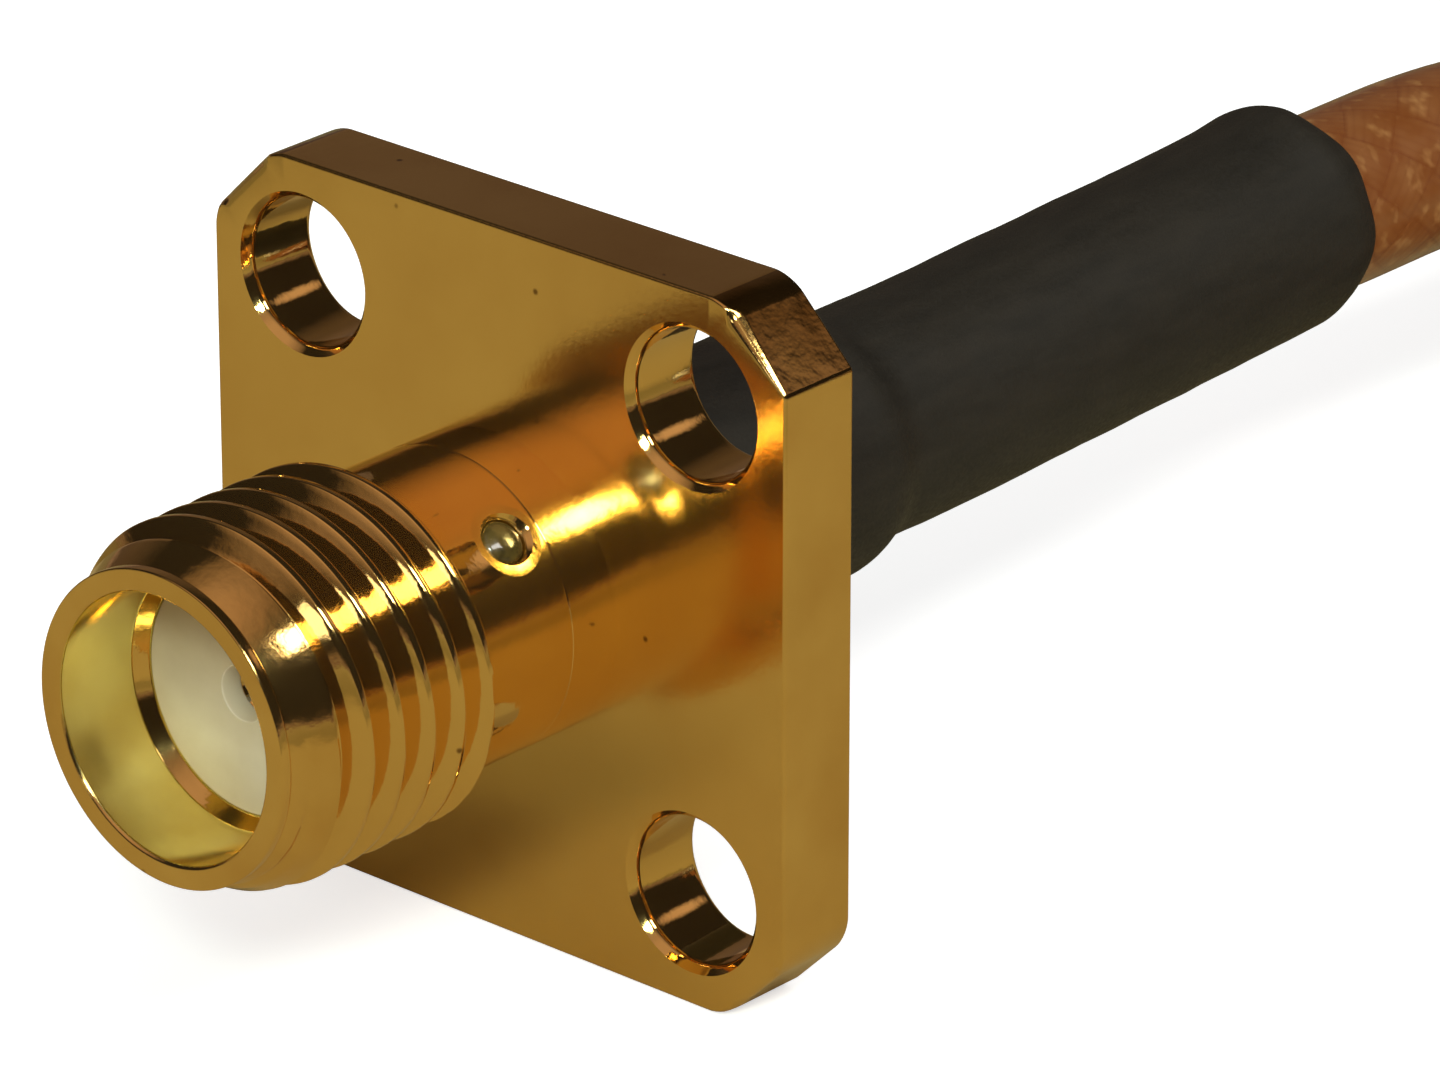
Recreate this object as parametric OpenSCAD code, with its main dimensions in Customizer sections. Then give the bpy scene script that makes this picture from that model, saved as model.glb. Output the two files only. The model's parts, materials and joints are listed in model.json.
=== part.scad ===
// Subminiature coaxial jack with a square four-hole flange, crimped to a
// thin coaxial cable whose free end is stripped.
// Axis along Y: the mouth looks to -Y and the cable leaves to +Y. Z is up and
// the origin is the centre of the flange's front face. Millimetres.

/* [Flange] */
// Side of the square flange
flange_w = 12.7; // [10:0.1:16]
// Thickness of the flange
flange_t = 1.65; // [1:0.05:3]
// Cut taken off each corner, along both sides
flange_corner = 1.3; // [0.2:0.1:2.5]
// Distance from the flange's sides to the centres of the screw holes
hole_edge = 2.03; // [1.5:0.01:3]
// Diameter of the four screw holes
hole_d = 2.6; // [1.6:0.1:3.2]
// Width of the bevel around each screw hole
hole_bevel = 0.14; // [0:0.02:0.3]

/* [Threaded barrel] */
// Outside diameter over the thread crests
thread_d = 6.35; // [5:0.05:8]
// Threads per 25.4 mm
threads_per_inch = 36; // [28:1:48]
// Depth of the thread groove
thread_depth = 0.42; // [0.2:0.01:0.5]
// Width of the flat at the bottom of the groove
thread_root_flat = 0.1; // [0.05:0.01:0.2]
// Distance from the flange face to the lip at the mouth
barrel_len = 7.8; // [6:0.1:12]
// Distance from the flange face to the last thread crest
last_crest = 3.48; // [2:0.02:5]
// Outside diameter of the lip
lip_d = 5.38; // [5:0.02:5.8]
// Length of the plain lip in front of the cone
lip_len = 0.25; // [0.15:0.05:0.6]
// Length of the cone that rises from the lip to the thread crests
cone_len = 0.85; // [0.4:0.05:2]
// Diameter of the plain neck between thread and flange
neck_d = 5.4; // [5:0.1:6]
// Distance from the flange face to the fine line turned around the neck
neck_line = 1.05; // [0.5:0.05:2]

/* [Mating interface] */
// Diameter of the bore that takes the mating shell
bore_d = 4.6; // [4.5:0.01:4.8]
// Depth of the contact plane behind the lip
bore_depth = 2.05; // [1.8:0.05:2.5]
// Diameter of the front insulator
insulator_d = 4.2; // [4:0.05:4.4]
// Diameter of the pin hole in the insulator's face
entry_d = 0.96; // [0.9:0.01:1.1]
// Thickness of the insulator in front of the contact
entry_t = 0.25; // [0.1:0.05:0.5]
// Outside diameter of the centre contact
contact_d = 1.27; // [1.1:0.01:1.5]
// Inside diameter of the contact's socket
socket_d = 0.94; // [0.9:0.01:1]
// Depth of the contact's socket
socket_depth = 3; // [2:0.1:4]
// Width of the slots between the socket's fingers
slot_w = 0.12; // [0.08:0.01:0.2]

/* [Epoxy hole] */
// Diameter of the hole through the neck
epoxy_d = 0.8; // [0.5:0.05:1.2]
// Distance from the flange face to the middle of the hole
epoxy_y = 1.75; // [1:0.05:2.5]
// Angle of the hole above the horizontal, on the right seen from the cable
epoxy_angle = 45; // [0:5:90]

/* [Crimp] */
// Distance from the flange's back to the start of the crimp sleeve
collar_t = 0.75; // [0.3:0.05:2]
// Length of the crimp stem behind the collar
stem_len = 4.3; // [3:0.1:9]
// Outside diameter of the crimp sleeve
ferrule_d = 4; // [3.6:0.05:5]
// Length of the crimp sleeve
ferrule_len = 5.1; // [4:0.1:10]

/* [Heat-shrink sleeve] */
// Wall of the shrunk sleeve over the crimp
shrink_wall = 0.35; // [0.2:0.05:0.8]
// Wall of the shrunk sleeve over the cable
shrink_wall_cable = 0.4; // [0.2:0.02:0.8]
// Length of the leaning part of the sleeve behind the crimp
shrink_tail = 10.7; // [5:0.1:20]
// Upward lean of the cable behind the crimp, in degrees
lean = 1.8; // [0:0.2:5]

/* [Cable] */
// Outside diameter of the jacket
jacket_d = 3.3; // [2.5:0.05:4]
// Outside diameter of the braid
braid_d = 2.75; // [2:0.05:3.4]
// Outside diameter of the cable's insulation
dielectric_d = 2.2; // [1.4:0.05:2.8]
// Outside diameter of the seven-strand conductor
conductor_d = 0.66; // [0.3:0.02:0.9]
// Diameter of the cup that the conductor is soldered into
cup_d = 0.84; // [0.5:0.02:1]
// Depth of the solder cup
cup_depth = 1.6; // [1:0.1:3]

/* [Coil] */
// Diameter of the coil at the middle of its turns
coil_d = 33; // [33:1:60]
// Thickness of the two ties around the coil
tie_t = 0.3; // [0.2:0.05:0.6]
// Width of each tie along the cable
tie_w = 2; // [1:0.5:4]
// Length of bare braid at the stripped end
tail_braid_len = 4; // [1:0.5:8]
// Length of bare insulation at the stripped end
tail_dielectric_len = 3.5; // [1:0.5:8]
// Length of bare strands at the stripped end
tail_strand_len = 3; // [1:0.5:8]

/* [Hidden] */
$fn = 96;
// How far a cutting shape runs past what it cuts
past = 1;
inch = 25.4;
flank_slope = tan(30);
pitch = inch / threads_per_inch;
hole_pitch = flange_w - 2 * hole_edge;
crest_r = thread_d / 2;
neck_r = neck_d / 2;
bore_r = bore_d / 2;
insulator_r = insulator_d / 2;
contact_r = contact_d / 2;
jacket_r = jacket_d / 2;
braid_r = braid_d / 2;
dielectric_r = dielectric_d / 2;
conductor_r = conductor_d / 2;
ferrule_r = ferrule_d / 2;

// Stations along Y
braid_step = 0.35;
mouth_y = -barrel_len;
plane_y = mouth_y + bore_depth;
stem_face_y = 0.6;
collar_y = flange_t + collar_t;
stem_end_y = collar_y + stem_len;
jacket_y = stem_end_y + braid_step;
ferrule_end_y = collar_y + ferrule_len;
contact_y = plane_y + entry_t;

// Small shapes of the turned body
lip_bevel = 0.05;
cone_y = mouth_y + lip_len;
mouth_bevel = 0.05;
line_w = 0.06;
line_depth = 0.03;
grooves = 6;
crest_half_flat = pitch / 12;
epoxy_rim = 0.14;

// The leaning part of the cable turns about this point on the axis
lean_y = 10.8;
shrink_start_y = flange_t;
shrink_step_y = ferrule_end_y + 0.1;
shrink_step = 0.7;
shrink_end_round = 0.9;
shrink_end_wall = 0.06;

// The cable goes on in a node of its own just inside the sleeve's end
run_start_y = 21;
run_sides = 12;

// Route of the cable from the sleeve to the coil's upper turn
route = [
    [0, 21, 0.32],
    [0, 22.2, 0.26],
    [0, 23.4, 0.25],
    [0, 24.6, 0.24],
    [0, 25.8, 0.17],
    [0, 27, 0.02],
    [0, 28.2, -0.2],
    [0, 29.4, -0.49],
    [0, 30.6, -0.76],
    [0, 31.8, -0.94],
    [0, 33, -1.06],
    [0, 34.2, -1.1],
    [0, 35.4, -1.1],
    [0, 36.6, -1.1],
    [0, 37.8, -1.1],
    [0, 39, -1.1],
    [0, 40, -1.1],
    [0, 41, -1.1]
];

// The coil turns clockwise seen from above, so its angles fall along the
// cable: part of a turn high, a drop, and part of a turn low underneath
coil_r = coil_d / 2;
coil_centre = [coil_r, 41];
coil_low_z = -flange_w / 2 + tie_t + jacket_r;
coil_high_z = coil_low_z + jacket_d;
coil_start = 180;
drop_start = -75;
drop_end = -135;
coil_end = -398;
drop_rings = 13;
tie_angles = [0, 120];
degrees_per_mm = 180 / (PI * coil_r);
tail_braid_end = coil_end - tail_braid_len * degrees_per_mm;
tail_dielectric_end = tail_braid_end - tail_dielectric_len * degrees_per_mm;
tail_strand_end = tail_dielectric_end - tail_strand_len * degrees_per_mm;

// Plating, plastics and the rest
gold = [0.83, 0.62, 0.25];
ptfe = [0.93, 0.93, 0.9];
amber = [0.45, 0.25, 0.08];
solder_grey = [0.66, 0.67, 0.68];
silver = [0.8, 0.8, 0.82];
black_sleeve = [0.09, 0.08, 0.075];
brown_jacket = [0.55, 0.3, 0.14];
black_tie = [0.07, 0.07, 0.07];

// Turns a profile of [radius, y] points about the connector's axis.
module turned(points) {
    rotate([-90, 0, 0])
        rotate_extrude()
            polygon(points);
}

// A round bar on the connector's axis between two stations.
module bar(radius, from_y, to_y) {
    turned([[0, from_y], [radius, from_y], [radius, to_y], [0, to_y]]);
}

// A tube on the connector's axis between two stations.
module tube(outer, inner, from_y, to_y) {
    turned([[inner, from_y], [outer, from_y], [outer, to_y], [inner, to_y]]);
}

// One V groove of the thread, drawn a little past the crests.
module thread_groove() {
    over = 0.1;
    half_root = thread_root_flat / 2;
    half_top = half_root + (thread_depth + over) * flank_slope;
    polygon([
        [crest_r - thread_depth, -half_root],
        [crest_r + over, -half_top],
        [crest_r + over, half_top],
        [crest_r - thread_depth, half_root]
    ]);
}

// Half section of lip, thread and neck.
module barrel_section() {
    thread_end_y = crest_half_flat - last_crest;
    neck_end_y = thread_end_y + (crest_r - neck_r) * flank_slope;
    root_y = flange_t / 2;
    difference() {
        polygon([
            [insulator_r, root_y],
            [insulator_r, plane_y],
            [bore_r, plane_y],
            [bore_r, mouth_y + mouth_bevel],
            [bore_r + mouth_bevel, mouth_y],
            [lip_d / 2 - lip_bevel, mouth_y],
            [lip_d / 2, mouth_y + lip_bevel],
            [lip_d / 2, cone_y],
            [crest_r, cone_y + cone_len],
            [crest_r, thread_end_y],
            [neck_r, neck_end_y],
            [neck_r, -neck_line - line_w / 2],
            [neck_r - line_depth, -neck_line],
            [neck_r, -neck_line + line_w / 2],
            [neck_r, root_y]
        ]);
        for (k = [0 : grooves - 1])
            translate([0, -last_crest - pitch * (k + 0.5)])
                thread_groove();
    }
}

// Places something along a line out of the axis through the epoxy hole.
module at_epoxy_hole() {
    translate([0, -epoxy_y, 0])
        rotate([0, 90 - epoxy_angle, 0])
            children();
}

// Outline of the flange.
module flange_outline() {
    h = flange_w / 2;
    c = h - flange_corner;
    polygon([[-h, -c], [-c, -h], [c, -h], [h, -c], [h, c], [c, h], [-c, h], [-h, c]]);
}

// A screw hole with its bevel on both faces, along Y.
module screw_hole() {
    r = hole_d / 2;
    wide = r + hole_bevel;
    turned([
        [0, -past],
        [wide, -past],
        [wide, 0],
        [r, hole_bevel],
        [r, flange_t - hole_bevel],
        [wide, flange_t],
        [wide, flange_t + past],
        [0, flange_t + past]
    ]);
}

// The flange, its four holes and the threaded barrel are one turned and
// milled piece of gold-plated brass.
module flange_body() {
    color(gold)
        difference() {
            union() {
                rotate([-90, 0, 0])
                    linear_extrude(flange_t)
                        flange_outline();
                rotate([-90, 0, 0])
                    rotate_extrude()
                        barrel_section();
            }
            bar(insulator_r, -past, flange_t + past);
            for (x = [-1, 1], z = [-1, 1])
                translate([x * hole_pitch / 2, 0, z * hole_pitch / 2])
                    screw_hole();
            at_epoxy_hole() {
                cylinder(d = epoxy_d, h = neck_r + past);
                translate([0, 0, neck_r - epoxy_rim])
                    cylinder(d1 = epoxy_d, d2 = epoxy_d + 4 * epoxy_rim, h = 2 * epoxy_rim);
            }
        }
}

// White insulator with a small pin hole in its closed face.
module front_insulator() {
    color(ptfe)
        difference() {
            turned([
                [entry_d / 2, plane_y],
                [insulator_r, plane_y],
                [insulator_r, stem_face_y],
                [contact_r, stem_face_y],
                [contact_r, contact_y],
                [entry_d / 2, contact_y]
            ]);
            at_epoxy_hole()
                cylinder(d = epoxy_d, h = neck_r);
        }
}

// Gold-plated socket with four fingers in front and a solder cup behind.
module centre_contact() {
    lead_in = 0.06;
    socket_end_y = contact_y + socket_depth;
    slot_len = 0.8 * socket_depth;
    color(gold)
        difference() {
            bar(contact_r, contact_y, stem_face_y);
            turned([
                [0, contact_y - past],
                [socket_d / 2 + lead_in, contact_y - past],
                [socket_d / 2 + lead_in, contact_y],
                [socket_d / 2, contact_y + lead_in],
                [socket_d / 2, socket_end_y],
                [0, socket_end_y + socket_d / 4]
            ]);
            bar(cup_d / 2, stem_face_y - cup_depth, stem_face_y + past);
            for (a = [45, 135])
                rotate([0, a, 0])
                    translate([-contact_r - past, contact_y - past, -slot_w / 2])
                        cube([2 * (contact_r + past), slot_len + past, slot_w]);
        }
}

// Hardened epoxy that fills the hole down to the contact and domes at the top.
module epoxy_plug() {
    r = epoxy_d / 2;
    dome_h = 0.15;
    shoulder = neck_r - 0.2;
    dome_r = (r * r + dome_h * dome_h) / (2 * dome_h);
    color(amber)
        difference() {
            at_epoxy_hole()
                intersection() {
                    cylinder(r = r, h = neck_r);
                    union() {
                        cylinder(r = r + past, h = shoulder);
                        translate([0, 0, shoulder + dome_h - dome_r])
                            sphere(r = dome_r);
                    }
                }
            bar(contact_r, -barrel_len, flange_t);
        }
}

// Bushing pressed into the back of the flange, with the thin tube that the
// braid is crimped onto.
module crimp_stem() {
    color(gold)
        turned([
            [dielectric_r, stem_face_y],
            [insulator_r, stem_face_y],
            [insulator_r, flange_t],
            [ferrule_r, flange_t],
            [ferrule_r, collar_y],
            [braid_r, collar_y],
            [braid_r, stem_end_y],
            [dielectric_r, stem_end_y]
        ]);
}

// Sleeve crimped over the braid and over the first of the jacket.
module crimp_ferrule() {
    edge = 0.08;
    color(gold)
        turned([
            [jacket_r, collar_y],
            [ferrule_r - edge, collar_y],
            [ferrule_r, collar_y + edge],
            [ferrule_r, ferrule_end_y - edge],
            [ferrule_r - edge, ferrule_end_y],
            [jacket_r, ferrule_end_y]
        ]);
}

// Turns what follows about the point where the cable starts to lean.
module leaning(angle = lean) {
    translate([0, lean_y, 0])
        rotate([angle, 0, 0])
            translate([0, -lean_y, 0])
                children();
}

// The space before or behind the mitre plane at the start of the lean.
module mitre_side(side) {
    reach = 30;
    leaning(lean / 2)
        translate([0, lean_y + side * reach / 2, 0])
            cube(reach, center = true);
}

// Joins a straight piece to a leaning one on the mitre plane.
module mitred() {
    intersection() {
        children(0);
        mitre_side(-1);
    }
    intersection() {
        leaning()
            children(1);
        mitre_side(1);
    }
}

// Black sleeve shrunk over the collar, the crimp and the cable behind it.
module heat_shrink_sleeve() {
    thick_r = ferrule_r + shrink_wall;
    thin_r = jacket_r + shrink_wall_cable;
    end_y = lean_y + shrink_tail;
    edge = 0.1;
    color(black_sleeve)
        mitred() {
            turned([
                [ferrule_r, shrink_start_y],
                [thick_r - edge, shrink_start_y],
                [thick_r, shrink_start_y + edge],
                [thick_r, shrink_step_y],
                [thick_r - edge, shrink_step_y + 2 * edge],
                [thin_r, shrink_step_y + shrink_step],
                [thin_r, lean_y + past],
                [jacket_r, lean_y + past],
                [jacket_r, ferrule_end_y],
                [ferrule_r, ferrule_end_y]
            ]);
            turned([
                [jacket_r, lean_y - past],
                [thin_r, lean_y - past],
                [thin_r, end_y - shrink_end_round],
                [thin_r - shrink_end_wall, end_y - 0.65 * shrink_end_round],
                [thin_r - 3 * shrink_end_wall, end_y - 0.3 * shrink_end_round],
                [jacket_r + shrink_end_wall, end_y],
                [jacket_r, end_y]
            ]);
        }
}

// Silver-plated braid, combed back over the stem under the crimp sleeve.
module crimped_braid() {
    color(silver)
        turned([
            [braid_r, collar_y],
            [jacket_r, collar_y],
            [jacket_r, stem_end_y],
            [braid_r, jacket_y],
            [dielectric_r, jacket_y],
            [dielectric_r, stem_end_y],
            [braid_r, stem_end_y]
        ]);
}

// Solder around the conductor in the contact's cup.
module solder_fill() {
    color(solder_grey)
        tube(cup_d / 2, conductor_r, stem_face_y - cup_depth, stem_face_y);
}

// The cable's own insulation, through the stem up to the contact.
module cable_dielectric() {
    color(ptfe)
        tube(dielectric_r, conductor_r, stem_face_y, jacket_y);
}

// The cable's conductor, soldered into the contact.
module cable_conductor() {
    color(silver)
        bar(conductor_r, stem_face_y - cup_depth, jacket_y);
}

// The jacketed cable inside the heat-shrink sleeve.
module cable_jacket() {
    color(brown_jacket)
        mitred() {
            bar(jacket_r, jacket_y, lean_y + past);
            bar(jacket_r, lean_y - past, run_start_y);
        }
}

// One corner of a ring around a point, square to a direction.
function ring_corner(point, direction, k) =
    let (
        d = direction / norm(direction),
        across = cross(d, [0, 0, 1]),
        side = across / norm(across),
        up = cross(side, d),
        a = 360 * k / run_sides
    ) point + jacket_r * (cos(a) * side + sin(a) * up);

// A closed tube in the jacket's size, swept along points with directions.
module swept_cable(points, directions) {
    rings = len(points);
    n = run_sides;
    corners = [for (i = [0 : rings - 1], k = [0 : n - 1]) ring_corner(points[i], directions[i], k)];
    walls = [for (i = [0 : rings - 2], k = [0 : n - 1])
        [i * n + k, i * n + (k + 1) % n, (i + 1) * n + (k + 1) % n, (i + 1) * n + k]];
    first_cap = [for (k = [n - 1 : -1 : 0]) k];
    last_cap = [for (k = [0 : n - 1]) (rings - 1) * n + k];
    polyhedron(points = corners, faces = concat([first_cap], walls, [last_cap]), convexity = 6);
}

// The cable between the sleeve and the coil.
module cable_run() {
    last = len(route) - 1;
    first = [0, cos(lean), sin(lean)];
    others = [for (i = [1 : last]) route[min(i + 1, last)] - route[i - 1]];
    color(brown_jacket)
        swept_cable(route, concat([first], others));
}

// Sweeps a flat section around the coil from one angle down to another.
module around_coil(from_angle, to_angle) {
    translate([coil_centre[0], coil_centre[1], 0])
        rotate([0, 0, to_angle])
            rotate_extrude(angle = from_angle - to_angle)
                children();
}

// A turn's round section at a height.
module turn_section(radius, z) {
    translate([coil_r, z])
        circle(r = radius);
}

// The upper turn, from the run's end to where it drops.
module cable_coil_high() {
    color(brown_jacket)
        around_coil(coil_start, drop_start)
            turn_section(jacket_r, coil_high_z);
}

// A point of the drop; i counts its rings and may run past its ends.
function drop_point(i) =
    let (
        t = i / (drop_rings - 1),
        a = drop_start + (drop_end - drop_start) * t,
        eased = (1 - cos(180 * min(max(t, 0), 1))) / 2
    ) [
        coil_centre[0] + coil_r * cos(a),
        coil_centre[1] + coil_r * sin(a),
        coil_high_z + (coil_low_z - coil_high_z) * eased
    ];

// The cable's drop from the upper turn to the lower one.
module cable_coil_drop() {
    points = [for (i = [0 : drop_rings - 1]) drop_point(i)];
    step = 0.05;
    directions = [for (i = [0 : drop_rings - 1]) drop_point(i + step) - drop_point(i - step)];
    color(brown_jacket)
        swept_cable(points, directions);
}

// The lower turn, under the run and the upper turn.
module cable_coil_low() {
    color(brown_jacket)
        around_coil(drop_end, coil_end)
            turn_section(jacket_r, coil_low_z);
}

// Outline around both turns, with a margin.
module stack_section(margin) {
    r = jacket_r + margin;
    turn_section(r, coil_low_z);
    turn_section(r, coil_high_z);
    translate([coil_r - r, coil_low_z])
        square([2 * r, coil_high_z - coil_low_z]);
}

// A flat band around both turns.
module coil_tie(i) {
    half = tie_w / 2 * degrees_per_mm;
    color(black_tie)
        around_coil(tie_angles[i] + half, tie_angles[i] - half)
            difference() {
                stack_section(tie_t);
                stack_section(0);
            }
}

// A bare layer of the cable's free end, on the lower turn's line.
module tail_layer(radius, from_angle, to_angle) {
    around_coil(from_angle, to_angle)
        turn_section(radius, coil_low_z);
}

module tail_braid() {
    color(silver)
        tail_layer(braid_r, coil_end, tail_braid_end);
}

module tail_dielectric() {
    color(ptfe)
        tail_layer(dielectric_r, tail_braid_end, tail_dielectric_end);
}

// One of the seven strands: the first in the middle, six around it.
module tail_strand(i) {
    strand_r = conductor_r / 3;
    off = i == 1 ? 0 : 2 * strand_r;
    a = 60 * i;
    color(silver)
        around_coil(tail_dielectric_end, tail_strand_end)
            translate([off * cos(a), off * sin(a)])
                turn_section(strand_r, coil_low_z);
}

flange_body();
front_insulator();
centre_contact();
epoxy_plug();
crimp_stem();
crimp_ferrule();
heat_shrink_sleeve();
crimped_braid();
solder_fill();
cable_dielectric();
cable_conductor();
cable_jacket();
cable_run();
cable_coil_high();
cable_coil_drop();
cable_coil_low();
coil_tie(0);  // coil_tie_1
coil_tie(1);  // coil_tie_2
tail_braid();
tail_dielectric();
tail_strand(1);  // tail_strand_1
tail_strand(2);  // tail_strand_2
tail_strand(3);  // tail_strand_3
tail_strand(4);  // tail_strand_4
tail_strand(5);  // tail_strand_5
tail_strand(6);  // tail_strand_6
tail_strand(7);  // tail_strand_7
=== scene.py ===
# %% [markdown]
# A gold-plated coaxial jack on a short cable
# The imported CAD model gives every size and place. This lesson dresses it:
# a camera and a small studio first, then the cable, the gold, the plastics.
# Everything below is worked out in millimetres and scaled to metres last,
# because thread edges a few hundredths across are easier to read that way.

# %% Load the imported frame
import json
import math

import bmesh
import bpy
from mathutils import Matrix, Vector, noise as field

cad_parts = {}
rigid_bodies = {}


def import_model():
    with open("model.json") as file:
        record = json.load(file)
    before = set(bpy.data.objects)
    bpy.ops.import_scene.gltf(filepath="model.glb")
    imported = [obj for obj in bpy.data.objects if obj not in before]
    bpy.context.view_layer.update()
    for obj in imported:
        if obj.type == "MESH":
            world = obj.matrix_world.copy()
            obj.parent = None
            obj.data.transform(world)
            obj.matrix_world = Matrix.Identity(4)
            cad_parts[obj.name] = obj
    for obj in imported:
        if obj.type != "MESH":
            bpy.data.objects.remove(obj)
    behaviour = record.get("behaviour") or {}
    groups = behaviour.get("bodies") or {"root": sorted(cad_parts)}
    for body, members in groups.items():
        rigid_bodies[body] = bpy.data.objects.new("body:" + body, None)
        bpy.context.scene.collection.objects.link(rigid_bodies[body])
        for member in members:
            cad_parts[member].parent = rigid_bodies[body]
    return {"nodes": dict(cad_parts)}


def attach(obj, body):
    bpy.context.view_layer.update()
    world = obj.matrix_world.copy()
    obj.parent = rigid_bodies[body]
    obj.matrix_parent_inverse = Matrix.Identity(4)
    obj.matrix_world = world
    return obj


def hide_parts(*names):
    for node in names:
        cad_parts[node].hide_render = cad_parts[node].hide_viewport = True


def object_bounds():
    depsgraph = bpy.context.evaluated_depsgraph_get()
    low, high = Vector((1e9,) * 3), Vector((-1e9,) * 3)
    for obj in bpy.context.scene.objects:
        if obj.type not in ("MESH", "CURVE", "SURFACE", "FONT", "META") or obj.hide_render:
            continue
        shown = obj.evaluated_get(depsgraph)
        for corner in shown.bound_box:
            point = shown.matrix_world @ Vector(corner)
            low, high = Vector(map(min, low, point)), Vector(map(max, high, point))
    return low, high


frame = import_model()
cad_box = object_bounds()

MM = 0.001
print("CAD nodes:", len(frame["nodes"]))

# %% [markdown]
# The camera stands where the photographer stood: to the front right, a
# little above, with a long lens. Its three axes are built from a turn, a
# rise and a small roll, so the numbers can be read as a tripod's settings.

# %% Camera
TURN, RISE, ROLL = 0.7248, 0.41103, 0.00109
DISTANCE, SLIDE, LIFT = 147.345, 3.711, 0.693
FOCAL, SENSOR, NEAREST, FARTHEST = 223.02, 36, 0.01, 20


def add_object(name, data):
    obj = bpy.data.objects.new(name, data)
    bpy.context.scene.collection.objects.link(obj)
    return obj


back = Vector((math.sin(TURN) * math.cos(RISE), -math.cos(TURN) * math.cos(RISE), math.sin(RISE)))
right = Vector((math.cos(TURN), math.sin(TURN), 0))
up = back.cross(right)
right, up = (right * math.cos(ROLL) + up * math.sin(ROLL),
             up * math.cos(ROLL) - right * math.sin(ROLL))
axes = Matrix((right, up, back)).transposed().to_4x4()

camera = add_object("camera", bpy.data.cameras.new("camera"))
camera.data.lens, camera.data.sensor_width = FOCAL, SENSOR
camera.data.clip_start, camera.data.clip_end = NEAREST, FARTHEST
camera.matrix_world = Matrix.Translation((back * DISTANCE + right * SLIDE + up * LIFT) * MM) @ axes
bpy.context.scene.camera = camera
bpy.context.scene.view_settings.view_transform = "Standard"
print("camera at", [round(x, 4) for x in camera.location])

# %% [markdown]
# Shader nodes are wired by a few short helpers. One adds a node with its
# settings, one adds a Math node, and one makes a Principled material. A
# number that is the same everywhere is typed into the shader's own socket.

# %% Node helpers
def add_node(tree, kind, **settings):
    node = tree.nodes.new(kind)
    for name, value in settings.items():
        setattr(node, name, value)
    return node


def plug(tree, socket, value):
    if isinstance(value, bpy.types.NodeSocket):
        tree.links.new(value, socket)
    else:
        socket.default_value = value


def calc(tree, operation, a, b=0.0, c=0.0, clamp=False):
    node = add_node(tree, "ShaderNodeMath", operation=operation, use_clamp=clamp)
    for socket, value in zip(node.inputs, (a, b, c)):
        plug(tree, socket, value)
    return node.outputs[0]


def blend_colour(tree, fac, a, b, blend="MIX"):
    node = add_node(tree, "ShaderNodeMix", data_type="RGBA", blend_type=blend)
    plug(tree, node.inputs["Factor"], fac)
    plug(tree, node.inputs[6], a)
    plug(tree, node.inputs[7], b)
    return node.outputs[2]


def between(tree, value, low, high, to_low=0.0, to_high=1.0):
    node = add_node(tree, "ShaderNodeMapRange")
    for socket, v in zip(node.inputs, (value, low, high, to_low, to_high)):
        plug(tree, socket, v)
    return node.outputs[0]


def noise(tree, vector, scale, detail):
    node = add_node(tree, "ShaderNodeTexNoise")
    for label, value in (("Vector", vector), ("Scale", scale), ("Detail", detail)):
        plug(tree, node.inputs[label], value)
    return node.outputs["Fac"]


def object_coordinates(tree, stretch=None):
    place = add_node(tree, "ShaderNodeTexCoord").outputs["Object"]
    if not stretch:
        return place
    mapping = add_node(tree, "ShaderNodeMapping")
    plug(tree, mapping.inputs["Vector"], place)
    mapping.inputs["Scale"].default_value = stretch
    return mapping.outputs["Vector"]


def vector_math(tree, operation, a, b=None):
    node = add_node(tree, "ShaderNodeVectorMath", operation=operation)
    plug(tree, node.inputs[0], a)
    if b is not None:
        plug(tree, node.inputs[1], b)
    return node.outputs


def new_material(name, **sockets):
    material = bpy.data.materials.new(name)
    material.use_nodes = True
    tree = material.node_tree
    shader = tree.nodes["Principled BSDF"]
    for socket, value in sockets.items():
        shader.inputs[socket.replace("_", " ")].default_value = value
    return material, tree, shader


def bare_material(name):
    """A material with an empty tree, for the studio's own surfaces."""
    material = bpy.data.materials.new(name)
    material.use_nodes = True
    material.node_tree.nodes.clear()
    return material, material.node_tree


def bump(tree, shader, height, distance, strength=1.0):
    node = add_node(tree, "ShaderNodeBump")
    node.inputs["Strength"].default_value = strength
    node.inputs["Distance"].default_value = distance
    plug(tree, node.inputs["Height"], height)
    plug(tree, shader.inputs["Normal"], node.outputs["Normal"])


print("helpers ready")

# %% [markdown]
# The studio is plain. The floor is a matt pale board. The camera sees it and the air behind it as white by way
# of the Light Path node, so no extra light has to fall on the part, and the floor keeps a soft shadow. To
# glossy rays alone the board is painted a warm tan, lighter close under the part. This is a painted reflection
# that sets what the metal mirrors.

# %% Pale floor
FLOOR_Z, FLOOR_SIDE, FLOOR_GLOW = cad_box[0].z, 6.0, 0.62
NEAR_RING, FAR_RING = (0.034, 0.055), (0.08, 0.2)
# Painted reflection: tones of the board that only glossy rays see.
TAN_NEAR, TAN_MIDDLE, TAN_FAR = (0.41, 0.335, 0.165, 1), (0.24, 0.20, 0.10, 1), (0.28, 0.23, 0.13, 1)


def mesh_of(name, bm):
    mesh = bpy.data.meshes.new(name)
    bm.to_mesh(mesh)
    bm.free()
    return mesh


def seen_directly(tree, glossy_share):
    path = add_node(tree, "ShaderNodeLightPath").outputs
    direct = calc(tree, "ADD", path["Is Camera Ray"], path["Is Transmission Ray"], clamp=True)
    return calc(tree, "MULTIPLY_ADD", path["Is Glossy Ray"], glossy_share, direct, clamp=True)


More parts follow.
